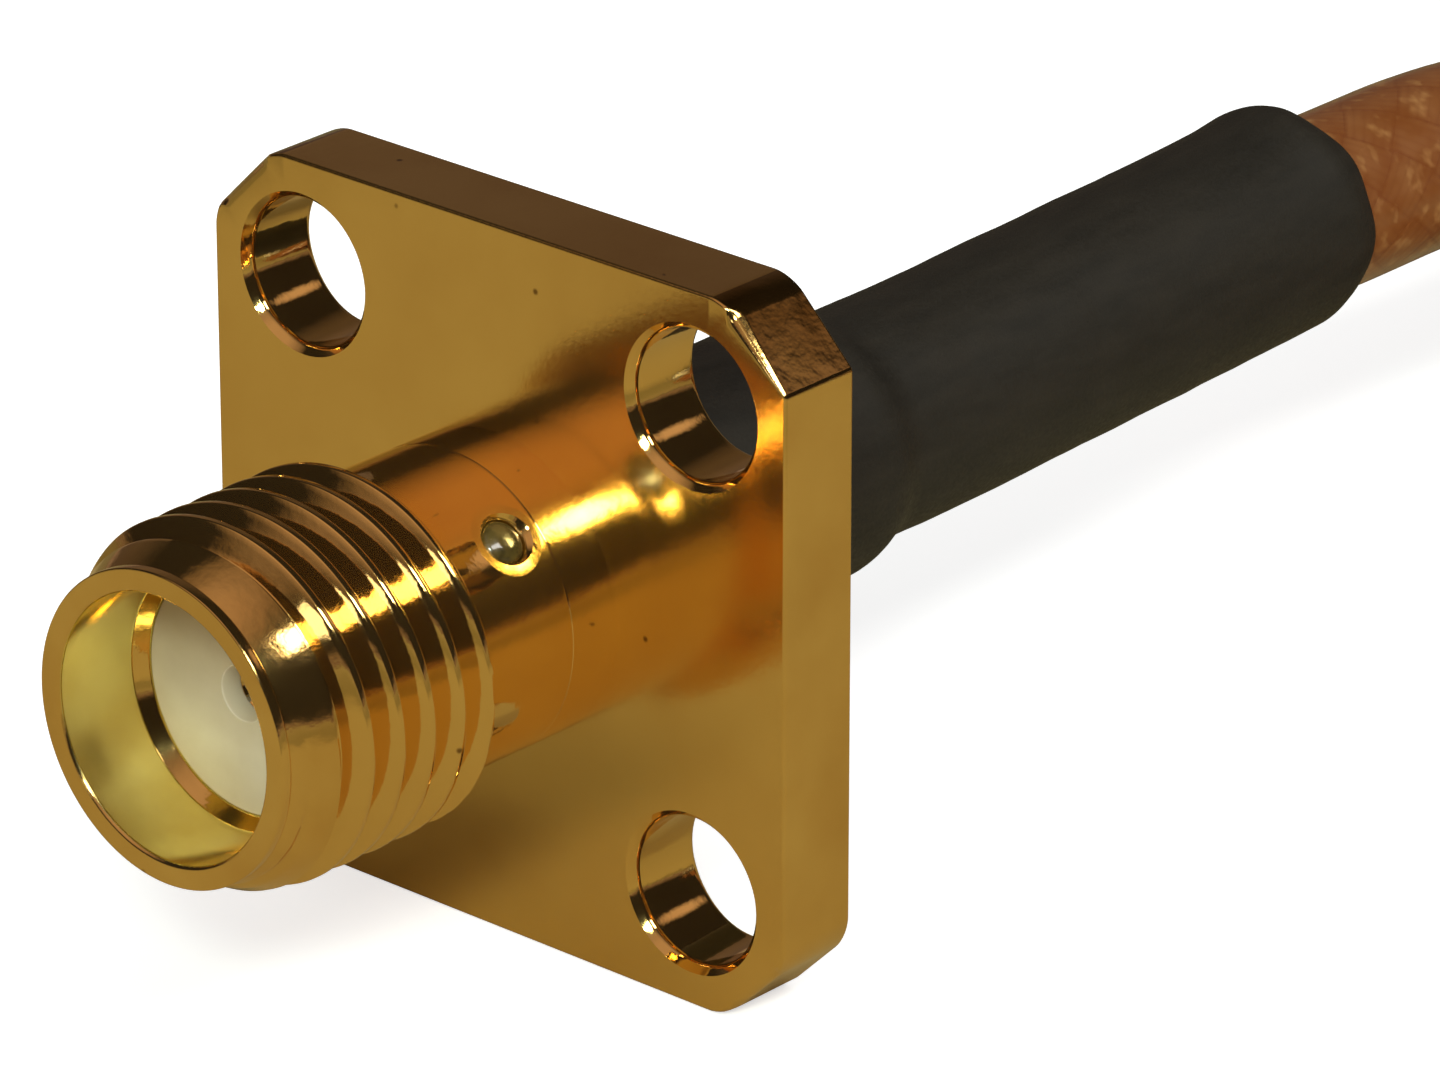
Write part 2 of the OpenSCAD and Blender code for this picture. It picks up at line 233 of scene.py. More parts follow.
bm = bmesh.new()
bmesh.ops.create_grid(bm, x_segments=1, y_segments=1, size=FLOOR_SIDE / 2,
                      matrix=Matrix.Translation((0, 0, FLOOR_Z)))
floor = add_object("floor", mesh_of("floor", bm))

floor_paint, tree = bare_material("pale_floor")
matt = add_node(tree, "ShaderNodeBsdfDiffuse")
from_middle = vector_math(tree, "LENGTH", object_coordinates(tree))["Value"]
# Painted reflection: a warm tan board, lighter close under the part, mixed in for glossy rays only.
tan_reflection_paint = blend_colour(tree, between(tree, from_middle, *FAR_RING), blend_colour(
    tree, between(tree, from_middle, *NEAR_RING), TAN_NEAR, TAN_MIDDLE), TAN_FAR)
in_metal = add_node(tree, "ShaderNodeLightPath").outputs["Is Glossy Ray"]
plug(tree, matt.inputs["Color"], blend_colour(tree, in_metal, (0.80, 0.80, 0.79, 1), tan_reflection_paint))
glow = add_node(tree, "ShaderNodeEmission")
plug(tree, glow.inputs["Strength"], calc(tree, "MULTIPLY", seen_directly(tree, 0.0), FLOOR_GLOW))
both = add_node(tree, "ShaderNodeAddShader")
plug(tree, both.inputs[0], matt.outputs[0])
plug(tree, both.inputs[1], glow.outputs[0])
plug(tree, add_node(tree, "ShaderNodeOutputMaterial").inputs["Surface"], both.outputs[0])
floor.data.materials.append(floor_paint)
print("floor at", round(FLOOR_Z, 5))

# %% [markdown]
# The air around the part is a World with one Background node. It is full
# white to the camera and to the metal, and lights everything else at less
# than half of that, so that colours keep their tone.

# %% White background
AIR_LIGHT = 0.46
world = bpy.data.worlds.new("studio_air")
world.use_nodes = True
bpy.context.scene.world = world
tree = world.node_tree
sky = tree.nodes["Background"]
sky.inputs["Color"].default_value = (1, 1, 1, 1)
plug(tree, sky.inputs["Strength"], between(tree, seen_directly(tree, 1.0), 0, 1, AIR_LIGHT, 1.0))
print("background:", world.name)

# %% [markdown]
# Polished gold has hardly any colour of its own: it shows the room. So the room is shaped as a photographer
# would shape it, with a dark curtain around and above. The curtain is a dome that only reflections can see, and
# it lights nothing. Its warm glow, brighter low down near the floor, and a few paler patches on it are painted
# light, a painted reflection for the gold to show.

# %% Dark curtain
DOME_R = 2.0
# Patches of painted light on the curtain: direction around and up, inner and outer angle, level.
PAINTED_LIGHT_PATCHES = ((-6, 52, 12, 38, 0.46), (146, 36, 2.5, 7, 0.55), (-138, 25, 10, 30, 0.07),
                (-110, 5, 10, 35, 0.07))


def toward(around, height):
    """The direction at an angle around from the front and a height, both in degrees."""
    a, h = math.radians(around), math.radians(height)
    return Vector((math.sin(a) * math.cos(h), -math.cos(a) * math.cos(h), math.sin(h)))


def painted_light_patch(around, height, inner, outer, level):
    """Painted light on the curtain: full level inside one angle about a direction, none outside another."""
    near = vector_math(tree, "DOT_PRODUCT", outward, toward(around, height))["Value"]
    return between(tree, near, math.cos(math.radians(outer)), math.cos(math.radians(inner)), 0, level)


bm = bmesh.new()
bmesh.ops.create_uvsphere(bm, u_segments=48, v_segments=24, radius=DOME_R)
bmesh.ops.bisect_plane(bm, geom=bm.verts[:] + bm.edges[:] + bm.faces[:], plane_co=(0, 0, FLOOR_Z),
                       plane_no=(0, 0, 1), clear_inner=True)
curtain = add_object("curtain", mesh_of("curtain", bm))
curtain.visible_camera = curtain.visible_diffuse = curtain.visible_shadow = False
curtain.visible_transmission = False

painted_glow, tree = bare_material("curtain_painted_glow")
outward = vector_math(tree, "NORMALIZE", object_coordinates(tree))["Vector"]
split = add_node(tree, "ShaderNodeSeparateXYZ")
plug(tree, split.inputs[0], outward)
# Painted glow: the dome is brighter low down, near the floor, and dark above.
level = between(tree, split.outputs["Z"], 0.02, 0.07, 0.20, 0.014)
for patch in PAINTED_LIGHT_PATCHES:
    level = calc(tree, "ADD", painted_light_patch(*patch), level)
shade = add_node(tree, "ShaderNodeEmission")
# The curtain's warm glow is painted light that only reflections see.
shade.inputs["Color"].default_value = (1.0, 0.70, 0.55, 1)
plug(tree, shade.inputs["Strength"], level)
plug(tree, add_node(tree, "ShaderNodeOutputMaterial").inputs["Surface"], shade.outputs[0])
curtain.data.materials.append(painted_glow)
print("curtain with", len(PAINTED_LIGHT_PATCHES), "pale patches")

# %% [markdown]
# Three lamps light the part: a small key box to the front right that gives
# the crests their sharp streak, a long soft box at the side, and a weak pane
# near the front. Radiance is set per area, so a box can be resized freely.

# %% Lamps
LAMP_AWAY = 0.6


def soft_box(name, around, height, width, tall, radiance, tint=(1, 0.98, 0.95)):
    way = toward(around, height)
    lamp = bpy.data.lights.new(name, "AREA")
    lamp.shape = "RECTANGLE"
    lamp.size, lamp.size_y = width, tall
    lamp.energy = radiance * math.pi * width * tall
    lamp.color = tint
    obj = add_object(name, lamp)
    obj.location = way * LAMP_AWAY
    obj.rotation_mode = "QUATERNION"
    obj.rotation_quaternion = way.to_track_quat("Z", "Y")
    obj.visible_camera = False
    return obj


lamps = [
    soft_box("key_box", around=35, height=35, width=0.10, tall=0.09, radiance=44, tint=(0.85, 1.0, 0.9)),
    soft_box("side_box", around=88, height=49, width=0.46, tall=0.12, radiance=8.5),
    soft_box("front_pane", around=5, height=12, width=0.10, tall=0.09, radiance=2.2)]
print("lamps:", [lamp.name for lamp in lamps])

# %% [markdown]
# Plating is never quite even. Two node groups carry what the gold finishes
# share: one is the fine grain and tarnish of the plating, the other the tiny
# pits that handling leaves. Each material sets its own amounts.

# %% Shared gold effects
FLOAT, COLOUR, VECTOR = "NodeSocketFloat", "NodeSocketColor", "NodeSocketVector"


def new_group(name, inputs, outputs):
    tree = bpy.data.node_groups.new(name, "ShaderNodeTree")
    for label, kind, value in inputs:
        socket = tree.interface.new_socket(label, in_out="INPUT", socket_type=kind)
        if value is not None:
            socket.default_value = value
    for label, kind in outputs:
        tree.interface.new_socket(label, in_out="OUTPUT", socket_type=kind)
    return tree, add_node(tree, "NodeGroupInput").outputs, add_node(tree, "NodeGroupOutput").inputs


def use_group(tree, group, **values):
    node = add_node(tree, "ShaderNodeGroup", node_tree=group)
    for label, value in values.items():
        plug(tree, node.inputs[label], value)
    return node.outputs


plating, given, result = new_group(
    "plating", [("Vector", VECTOR, None), ("Colour", COLOUR, (0.6, 0.35, 0.06, 1)),
                ("Tarnish", FLOAT, 0.2), ("Roughness", FLOAT, 0.1), ("Grain", FLOAT, 0.3)],
    [("Colour", COLOUR), ("Roughness", FLOAT), ("Height", FLOAT)])
broad = between(plating, noise(plating, given["Vector"], 420, 4), 0.35, 0.7)
fine = noise(plating, given["Vector"], 9000, 2)
dull = calc(plating, "MULTIPLY", broad, given["Tarnish"])
dulled = blend_colour(plating, 1.0, given["Colour"], (0.70, 0.55, 0.35, 1), "MULTIPLY")
plug(plating, result["Colour"], blend_colour(plating, dull, given["Colour"], dulled))
uneven = calc(plating, "MULTIPLY_ADD", calc(plating, "ADD", broad, fine), 0.35, 0.7)
plug(plating, result["Roughness"], calc(plating, "MULTIPLY", given["Roughness"], uneven, clamp=True))
plug(plating, result["Height"], calc(plating, "MULTIPLY", fine, given["Grain"]))

pits, given, result = new_group(
    "pits", [("Vector", VECTOR, None), ("Density", FLOAT, 0.1), ("Size", FLOAT, 2500.0)], [("Mask", FLOAT)])
cells = add_node(pits, "ShaderNodeTexVoronoi")
plug(pits, cells.inputs["Vector"], given["Vector"])
plug(pits, cells.inputs["Scale"], given["Size"])
lot = add_node(pits, "ShaderNodeSeparateColor")
plug(pits, lot.inputs[0], cells.outputs["Color"])
chosen = calc(pits, "LESS_THAN", lot.outputs[0], given["Density"])
near = between(pits, cells.outputs["Distance"], 0.12, 0.3, 1.0, 0.0)
plug(pits, result["Mask"], calc(pits, "MULTIPLY", chosen, near))
print("groups:", plating.name, pits.name)

# %% [markdown]
# The wall around the epoxy hole was burnished when the hole was drilled, so
# the polish dips toward its rim. The dip is far too shallow to model. A
# height that falls toward the hole's own line is enough to bend reflections.

# %% Burnished dish
EPOXY_Y, EPOXY_ANGLE = -1.75, 45
HOLE_AT = (0, EPOXY_Y * MM, 0)
HOLE_WAY = (math.cos(math.radians(EPOXY_ANGLE)), 0, math.sin(math.radians(EPOXY_ANGLE)))
DISH_RIM, DISH_EDGE = 0.42, 0.66


def dish_around_hole(tree, place):
    """Height that falls toward the epoxy hole: 0 at its rim, 1 outside the dish and behind."""
    rel = vector_math(tree, "SUBTRACT", place, HOLE_AT)["Vector"]
    along = vector_math(tree, "DOT_PRODUCT", rel, HOLE_WAY)["Value"]
    reach = vector_math(tree, "LENGTH", rel)["Value"]
    square = calc(tree, "MULTIPLY", along, along)
    off = calc(tree, "SQRT", calc(tree, "SUBTRACT", calc(tree, "MULTIPLY", reach, reach), square))
    behind = calc(tree, "LESS_THAN", along, 0.0)
    return calc(tree, "MAXIMUM", between(tree, off, DISH_RIM * MM, DISH_EDGE * MM), behind)


print("dish out to", DISH_EDGE, "mm")

# %% [markdown]
# Gold finishes. The barrel was turned and polished before plating, so it is
# nearly a mirror. The flange's flat faces were tumbled first, which leaves a
# satin bloom: they still mirror the barrel, but softly. Its milled sides, the
# bore, the worn rims and the darker cut corners each get their own amounts.

# %% Gold materials
GOLD = (0.92, 0.60, 0.20, 1)
PIT_COLOUR, PIT_SCALE, PIT_DEPTH = (0.30, 0.16, 0.05, 1), 4200.0, -0.3


def gold_finish(name, roughness, tarnish, grain, depth, pitted, colour=GOLD, dents=0.0,
                dent_scale=4200, dish=0.0):
    """Depth, dents and dish are heights in millimetres; pitted is the share of cells with a pit."""
    material, tree, shader = new_material(name, Metallic=0.985)
    place = object_coordinates(tree)
    film = use_group(tree, plating, Vector=place, Colour=colour, Tarnish=tarnish, Roughness=roughness,
                     Grain=grain)
    dots = use_group(tree, pits, Vector=place, Density=pitted, Size=PIT_SCALE)["Mask"]
    plug(tree, shader.inputs["Base Color"], blend_colour(tree, dots, film["Colour"], PIT_COLOUR))
    plug(tree, shader.inputs["Roughness"], film["Roughness"])
    height = calc(tree, "MULTIPLY_ADD", dots, PIT_DEPTH, film["Height"])
    if dents:
        height = calc(tree, "MULTIPLY_ADD", noise(tree, place, dent_scale, 3), dents / depth, height)
    if dish:
        height = calc(tree, "MULTIPLY_ADD", dish_around_hole(tree, place), dish / depth, height)
    bump(tree, shader, height, depth * MM)
    return material


polished_gold = gold_finish("polished_gold", roughness=0.07, tarnish=0.20, grain=0.1, depth=0.0006,
                            pitted=0.0015, dents=0.003, dish=0.023)
satin_gold = gold_finish("satin_gold", roughness=0.14, tarnish=0.22, grain=1.0, depth=0.0012, pitted=0.003)
milled_gold = gold_finish("milled_gold", roughness=0.18, tarnish=0.45, grain=1.0, depth=0.003, pitted=0.006)
# The bore's paler, greener gold is painted light, standing in for light bounced between its gold walls. Its
# roughness is the bored finish.
bored_gold = gold_finish("bored_gold", roughness=0.20, tarnish=0.65, grain=0.2, depth=0.0008, pitted=0.0,
                         colour=(0.93, 0.82, 0.30, 1))
worn_gold = gold_finish("worn_gold", roughness=0.10, tarnish=0.5, grain=0.5, depth=0.001, pitted=0.002,
                        dents=0.007, dent_scale=3000)
tumbled_gold = gold_finish("tumbled_gold", roughness=0.16, tarnish=0.9, grain=1.0, depth=0.002, pitted=0.0,
                           colour=(0.44, 0.27, 0.09, 1), dents=0.016, dent_scale=1900)
gold_finishes = [polished_gold, satin_gold, milled_gold, bored_gold, worn_gold, tumbled_gold]
print("gold:", [m.name for m in gold_finishes])

# %% [markdown]
# Most pieces here were turned on a lathe, so they are made the same way: a
# few vertices draw half of the section, and a spin makes the round. Corners
# of the section are rounded first, so no ring comes out sharp.

# %% Turning helpers
STEPS, SIDE_SHARE = 180, 0.45


def soften(points, radius, parts):
    """Rounds the inner corners of an open chain of (y, r) points, by at most a share of each side."""
    out = [points[0]]
    for before, corner, after in zip(points, points[1:], points[2:]):
        p, c, n = Vector(before), Vector(corner), Vector(after)
        reach = min(radius, (p - c).length * SIDE_SHARE, (n - c).length * SIDE_SHARE)
        a, b = c + (p - c).normalized() * reach, c + (n - c).normalized() * reach
        for k in range(parts + 1):
            t = k / parts
            out.append(tuple(a * (1 - t) ** 2 + c * (2 * t * (1 - t)) + b * t ** 2))
    return out + [points[-1]]


def draw_chain(bm, spots):
    verts = [bm.verts.new(spot) for spot in spots]
    return verts + [bm.edges.new(pair) for pair in zip(verts, verts[1:])]


def spin_round(bm, chain, steps, cent=(0, 0, 0), axis=(0, 1, 0)):
    bmesh.ops.spin(bm, geom=chain, cent=cent, axis=axis, dvec=(0, 0, 0), angle=math.tau, steps=steps,
                   use_merge=True, use_duplicate=False)


def lathe(bm, points, steps=STEPS):
    spin_round(bm, draw_chain(bm, [(r, y, 0) for y, r in points]), steps)


def weld(bm, distance=0.0005):
    bmesh.ops.remove_doubles(bm, verts=bm.verts, dist=distance)


print("lathe ready")

# %% [markdown]
# One helper puts a finished piece on the frame's body, hides the CAD nodes it stands for, and prints its number
# of faces. Edges sharper than forty degrees stay crisp, and the rest is shaded smooth.

# %% Finishing a piece
SHARP = math.radians(40)


def even_normals(piece):
    piece.modifiers.new("even_normals", "WEIGHTED_NORMAL").keep_sharp = True


def make_piece(name, bm, materials, nodes, even=False):
    bmesh.ops.recalc_face_normals(bm, faces=bm.faces)
    bmesh.ops.scale(bm, vec=(MM, MM, MM), verts=bm.verts)
    mesh = mesh_of(name, bm)
    for material in materials:
        mesh.materials.append(material)
    mesh.shade_smooth()
    mesh.set_sharp_from_angle(angle=SHARP)
    piece = add_object(name, mesh)
    if even:
        even_normals(piece)
    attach(piece, "root")
    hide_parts(*nodes)
    print(name, len(mesh.polygons), "faces")
    return piece


print("pieces ride on the root body")

# %% [markdown]
# The cable is one tube along one line. Its route out of the sleeve sags to
# the table and enters a neat coil: an upper turn, a drop, and a lower turn
# beneath. The route's points are round numbers, joined by a smooth curve.

# %% The cable's line
JACKET_R, BRAID_R, CORE_R, WIRE_R = 1.65, 1.375, 1.1, 0.11
ROUTE = [(21, 0.32), (22.2, 0.26), (23.4, 0.25), (24.6, 0.24), (25.8, 0.17), (27, 0.02), (28.2, -0.2),
         (29.4, -0.49), (30.6, -0.76), (31.8, -0.94), (33, -1.06), (34.2, -1.1), (35.4, -1.1),
         (36.6, -1.1), (37.8, -1.1), (39, -1.1), (40, -1.1), (41, -1.1)]
COIL_R, COIL_Y = 16.5, 41
HIGH_Z, LOW_Z = -1.1, -4.4
DROP_START, DROP_END, COIL_END = -75, -135, -398


def coil_point(angle):
    t = min(max((DROP_START - angle) / (DROP_START - DROP_END), 0), 1)
    z = HIGH_Z + (LOW_Z - HIGH_Z) * (1 - math.cos(math.pi * t)) / 2
    a = math.radians(angle)
    return Vector((COIL_R + COIL_R * math.cos(a), COIL_Y + COIL_R * math.sin(a), z))


def smooth_line(points, parts):
    out = []
    for i in range(len(points) - 1):
        p0, p1 = points[max(i - 1, 0)], points[i]
        p2, p3 = points[i + 1], points[min(i + 2, len(points) - 1)]
        for k in range(parts):
            t = k / parts
            out.append(0.5 * (2 * p1 + (p2 - p0) * t + (2 * p0 - 5 * p1 + 4 * p2 - p3) * t ** 2
                              + (3 * p1 - p0 - 3 * p2 + p3) * t ** 3))
    return out


def line_length(points):
    return sum((b - a).length for a, b in zip(points, points[1:]))


cable_line = smooth_line([Vector((0, y, z)) for y, z in ROUTE], 3)
cable_line += [coil_point(a) for a in range(180, COIL_END - 1, -2)]
print("cable length", round(line_length(cable_line), 1), "mm")

# %% [markdown]
# A curve object with a round bevel would also make a cable. Here a ring is
# pushed along the line edge by edge instead, because then its UV map can keep
# the place around and the real length along, and a braid follows the cable.

# %% Tubes along a line
def frames_along(line):
    """A matrix at each point: its Z axis runs along the line, its X axis stays level."""
    out = []
    for i, point in enumerate(line):
        ahead = (line[min(i + 1, len(line) - 1)] - line[max(i - 1, 0)]).normalized()
        level = ahead.cross(Vector((0, 0, 1))).normalized()
        turn = Matrix((level, ahead.cross(level), ahead)).transposed().to_4x4()
        out.append(Matrix.Translation(point) @ turn)
    return out


def of_kind(geom, kind):
    return [g for g in geom if isinstance(g, kind)]


def next_ring(bm, ring):
    """Extrudes a ring of edges. Returns the new vertices, edges and side faces."""
    grown = bmesh.ops.extrude_edge_only(bm, edges=ring)["geom"]
    verts = of_kind(grown, bmesh.types.BMVert)
    edges = [e for e in of_kind(grown, bmesh.types.BMEdge) if set(e.verts) <= set(verts)]
    return verts, edges, of_kind(grown, bmesh.types.BMFace)


def sweep(bm, line, radius, sides):
    """Pushes a ring along the line and gives it UVs: u around from 0 to 1, v along in millimetres."""
    around, along = bm.verts.layers.int.new("around"), bm.verts.layers.float.new("along")
    uv = bm.loops.layers.uv.new("UVMap")
    places = frames_along(line)
    first = bmesh.ops.create_circle(bm, cap_ends=True, radius=radius, segments=sides,
                                    matrix=places[0])["verts"]
    for k, v in enumerate(first):
        v[around] = k
        v[along] = 0.0
    ring = list({e for v in first for e in v.link_edges})
    run, made = 0.0, []
    for i in range(1, len(line)):
        verts, ring, faces = next_ring(bm, ring)
        made += faces
        bmesh.ops.transform(bm, matrix=places[i] @ places[i - 1].inverted(), verts=verts)
        run += (line[i] - line[i - 1]).length
        for v in verts:
            v[along] = run
    bmesh.ops.contextual_create(bm, geom=ring)
    for face in made:
        steps = [loop.vert[around] for loop in face.loops]
        seam = max(steps) - min(steps) > 1
        for loop, k in zip(face.loops, steps):
            loop[uv].uv = ((sides if seam and k == 0 else k) / sides, loop.vert[along])


print("sweep ready")

# %% [markdown]
# The braid is bundles of fine plated wires, eight running each way, woven
# over and under. The group below draws that weave on any tube's UV map. It
# returns the height of the weave, the lines of the single wires, and the
# small gaps where bundles part. The bare braid and the braid that shows
# through the brown jacket both use it.

# %% Braid weave group
braid, given, result = new_group(
    "braid_weave", [("UV", VECTOR, None), ("Bundles", FLOAT, 8.0), ("Lay", FLOAT, 15.0), ("Wires", FLOAT, 6.0)],
    [("Height", FLOAT), ("Wires", FLOAT), ("Gaps", FLOAT)])
split = add_node(braid, "ShaderNodeSeparateXYZ")
plug(braid, split.inputs[0], given["UV"])
turns = calc(braid, "DIVIDE", split.outputs["Y"], given["Lay"])
rows = []
for way in ("ADD", "SUBTRACT"):
    strand = calc(braid, "MULTIPLY", calc(braid, way, split.outputs["X"], turns), given["Bundles"])
    rows.append((calc(braid, "FLOOR", strand), calc(braid, "FRACT", strand)))
(a_cell, a_part), (b_cell, b_part) = rows
over = calc(braid, "FLOORED_MODULO", calc(braid, "ADD", a_cell, b_cell), 2.0)


def bundle(across, along_part):
    """One bundle's outline, its height and its single wires, from where a spot lies in it."""
    edge = calc(braid, "ABSOLUTE", calc(braid, "MULTIPLY_ADD", across, 2.0, -1.0))
    inside = between(braid, edge, 0.80, 0.96, 1.0, 0.0)
    swell = calc(braid, "SINE", calc(braid, "MULTIPLY", along_part, math.pi))
    ribs = calc(braid, "ABSOLUTE", calc(braid, "SINE", calc(
        braid, "MULTIPLY", across, calc(braid, "MULTIPLY", given["Wires"], math.pi))))
    return inside, calc(braid, "MULTIPLY", inside, calc(braid, "MULTIPLY_ADD", swell, 0.5, 0.5)), ribs


def pick(fac, a, b):
    rest = calc(braid, "MULTIPLY", calc(braid, "SUBTRACT", 1.0, fac), a)
    return calc(braid, "ADD", calc(braid, "MULTIPLY", fac, b), rest)


a_in, a_high, a_ribs = bundle(a_part, b_part)
b_in, b_high, b_ribs = bundle(b_part, a_part)
top_in, top_high, top_ribs = pick(over, a_in, b_in), pick(over, a_high, b_high), pick(over, a_ribs, b_ribs)
low_in, low_ribs = pick(over, b_in, a_in), pick(over, b_ribs, a_ribs)
wires = pick(top_in, calc(braid, "MULTIPLY", low_in, low_ribs), top_ribs)
plug(braid, result["Wires"], wires)
plug(braid, result["Gaps"], calc(braid, "SUBTRACT", 1.0, calc(braid, "MAXIMUM", a_in, b_in)))
plug(braid, result["Height"], calc(
    braid, "ADD", calc(braid, "MULTIPLY", top_high, 0.7), calc(braid, "MULTIPLY", wires, 0.3)))
print("braid group ready")

# %% [markdown]
# The jacket is brown and glossy, and just clear enough that the braid under
# it shows faintly, with a few pale specks. A clear coat gives the gloss, and
# the weave below only tints the colour and lifts the surface a hair.

# %% Brown jacket
LAY, JACKET_BUMP = 13.0, 0.006
jacket, tree, shader = new_material(
    "brown_jacket", Coat_Weight=0.4, Coat_Roughness=0.12, Specular_IOR_Level=0.5)
uv_map = add_node(tree, "ShaderNodeUVMap", uv_map="UVMap").outputs[0]
weave = use_group(tree, braid, UV=uv_map, Bundles=8.0, Lay=LAY, Wires=5.0)
place = object_coordinates(tree)
blotch = between(tree, noise(tree, place, 1300, 2), 0.38, 0.66)
under = between(tree, weave["Height"], 0.1, 0.9)
shown = calc(tree, "MULTIPLY", under, calc(tree, "MULTIPLY_ADD", blotch, 0.13, 0.05), clamp=True)
specks = calc(tree, "MULTIPLY", between(tree, noise(tree, place, 2400, 2), 0.54, 0.76, 0, 0.45), under)
browned = blend_colour(tree, shown, (0.20, 0.054, 0.010, 1), (0.56, 0.26, 0.07, 1))
plug(tree, shader.inputs["Base Color"], blend_colour(tree, specks, browned, (0.62, 0.32, 0.10, 1)))
plug(tree, shader.inputs["Roughness"], between(tree, blotch, 0, 1, 0.28, 0.42))
bump(tree, shader, weave["Height"], JACKET_BUMP * MM, 0.5)

bm = bmesh.new()
sweep(bm, cable_line, JACKET_R, 32)
cable = make_piece("cable", bm, [jacket], ["cable_run", "cable_coil_high", "cable_coil_drop", "cable_coil_low"])

# %% [markdown]
# Wire, insulation, tape, epoxy, rubber and solder are all a little mottled:
# their tone and their gloss drift together. One group makes that from a
# single noise, and each material gives it two tones and two roughnesses.

# %% Mottled finishes
mottle, given, result = new_group(
    "mottle", [("Vector", VECTOR, None), ("Scale", FLOAT, 2400.0), ("Detail", FLOAT, 3.0),
               ("Low", FLOAT, 0.3), ("High", FLOAT, 0.7), ("First", COLOUR, None), ("Second", COLOUR, None),
               ("Smooth", FLOAT, 0.3), ("Rough", FLOAT, 0.5)],
    [("Colour", COLOUR), ("Roughness", FLOAT), ("Cloud", FLOAT)])
cloud = noise(mottle, given["Vector"], given["Scale"], given["Detail"])
toned = between(mottle, cloud, given["Low"], given["High"])
plug(mottle, result["Colour"], blend_colour(mottle, toned, given["First"], given["Second"]))
plug(mottle, result["Roughness"], between(mottle, cloud, 0.3, 0.7, given["Smooth"], given["Rough"]))
plug(mottle, result["Cloud"], cloud)


def mottled(name, scale, detail, spread, first, second, gloss, stretch=None, **sockets):
    """A mottled material, with its tree, its shader and the noise that it follows."""
    material, tree, shader = new_material(name, **sockets)
    film = use_group(tree, mottle, Vector=object_coordinates(tree, stretch), Scale=scale, Detail=detail,
                     Low=spread[0], High=spread[1], First=(*first, 1), Second=(*second, 1),
                     Smooth=gloss[0], Rough=gloss[1])
    plug(tree, shader.inputs["Base Color"], film["Colour"])
    plug(tree, shader.inputs["Roughness"], film["Roughness"])
    return material, tree, shader, film


wire_metal = mottled("plated_wire", 2400, 3, (0.35, 0.7), (0.62, 0.61, 0.60), (0.78, 0.74, 0.66),
                     (0.16, 0.34), Metallic=0.7)[0]
print("mottled:", wire_metal.name)

# %% [markdown]
# Bare braid is the weave itself in plated wire, with dark gaps. The white
# insulation is a soft, slightly clear plastic, so light sinks in a little.
# The front insulator is the same material with two tints on top, and its colour carries painted light. Its
# yellower, duller base colours are painted shade with the tint of light bounced off the gold bore. It is darker
# still toward its top, painted shade under the lip. It is pale inside its pin hole, a painted glow of light
# through the thin plastic wall.

# %% Braid and insulation
# Heights over which the painted shade on the insulator's top comes in, and radii over which its painted
# pin-hole glow fades out.
PAINTED_SHADE_Z, PIN_RIM = (-1.0, 1.7), (0.485, 0.50)

braid_metal, tree, shader = new_material("bare_braid", Metallic=0.55)
uv_map = add_node(tree, "ShaderNodeUVMap", uv_map="UVMap").outputs[0]
weave = use_group(tree, braid, UV=uv_map, Bundles=8.0, Lay=LAY, Wires=6.0)
wired = blend_colour(tree, weave["Wires"], (0.30, 0.28, 0.25, 1), (0.80, 0.77, 0.72, 1))
plug(tree, shader.inputs["Base Color"], blend_colour(tree, weave["Gaps"], wired, (0.03, 0.025, 0.02, 1)))
plug(tree, shader.inputs["Roughness"], between(tree, weave["Wires"], 0, 1, 0.5, 0.25))
bump(tree, shader, weave["Height"], 0.08 * MM)


def insulator(name, pale, dull, depth, warm=None, centre=None):
    material, tree, shader, film = mottled(
        name, 900, 4, (0.35, 0.7), pale, dull, (0.35, 0.5), Subsurface_Weight=depth,
        Subsurface_Scale=0.0006, Subsurface_Radius=(1.0, 0.8, 0.6))
    place, colour = object_coordinates(tree), film["Colour"]
    # Painted shade: the colour darkens and warms toward the top, where the lip shades the face and the gold
    # bore tints it.
    if warm:
        split = add_node(tree, "ShaderNodeSeparateXYZ")
        plug(tree, split.inputs[0], place)
        upward = between(tree, split.outputs["Z"], *(z * MM for z in PAINTED_SHADE_Z))
        colour = blend_colour(tree, upward, colour, blend_colour(tree, 1.0, colour, warm, "MULTIPLY"))
    # Painted glow: inside the pin hole the colour is paler, for light coming through the thin plastic wall.
    if centre:
        out = vector_math(tree, "LENGTH", object_coordinates(tree, (1, 0, 1)))["Value"]
        colour = blend_colour(tree, between(tree, out, *(r * MM for r in PIN_RIM)), centre, colour)
    plug(tree, shader.inputs["Base Color"], colour)
    bump(tree, shader, noise(tree, place, 7000, 2), 0.003 * MM)
    return material


ptfe = insulator("white_insulator", (0.86, 0.84, 0.78), (0.78, 0.75, 0.67), depth=0.25)
# The front insulator: its colours carry painted shade, bounce tint and pin-hole glow.
ptfe_painted_light = insulator("insulator_painted_light", (0.84, 0.74, 0.52), (0.76, 0.65, 0.43), depth=0.0,
                      warm=(0.42, 0.30, 0.13, 1), centre=(0.95, 0.84, 0.62, 1))
print("cable end:", braid_metal.name, ptfe.name, ptfe_painted_light.name)

# %% [markdown]
# The far end is stripped for soldering, in three steps: bare braid, bare
# insulation, and seven bare strands. They follow the coil's own line.
# The strands have the slight twist that a drawn conductor keeps.

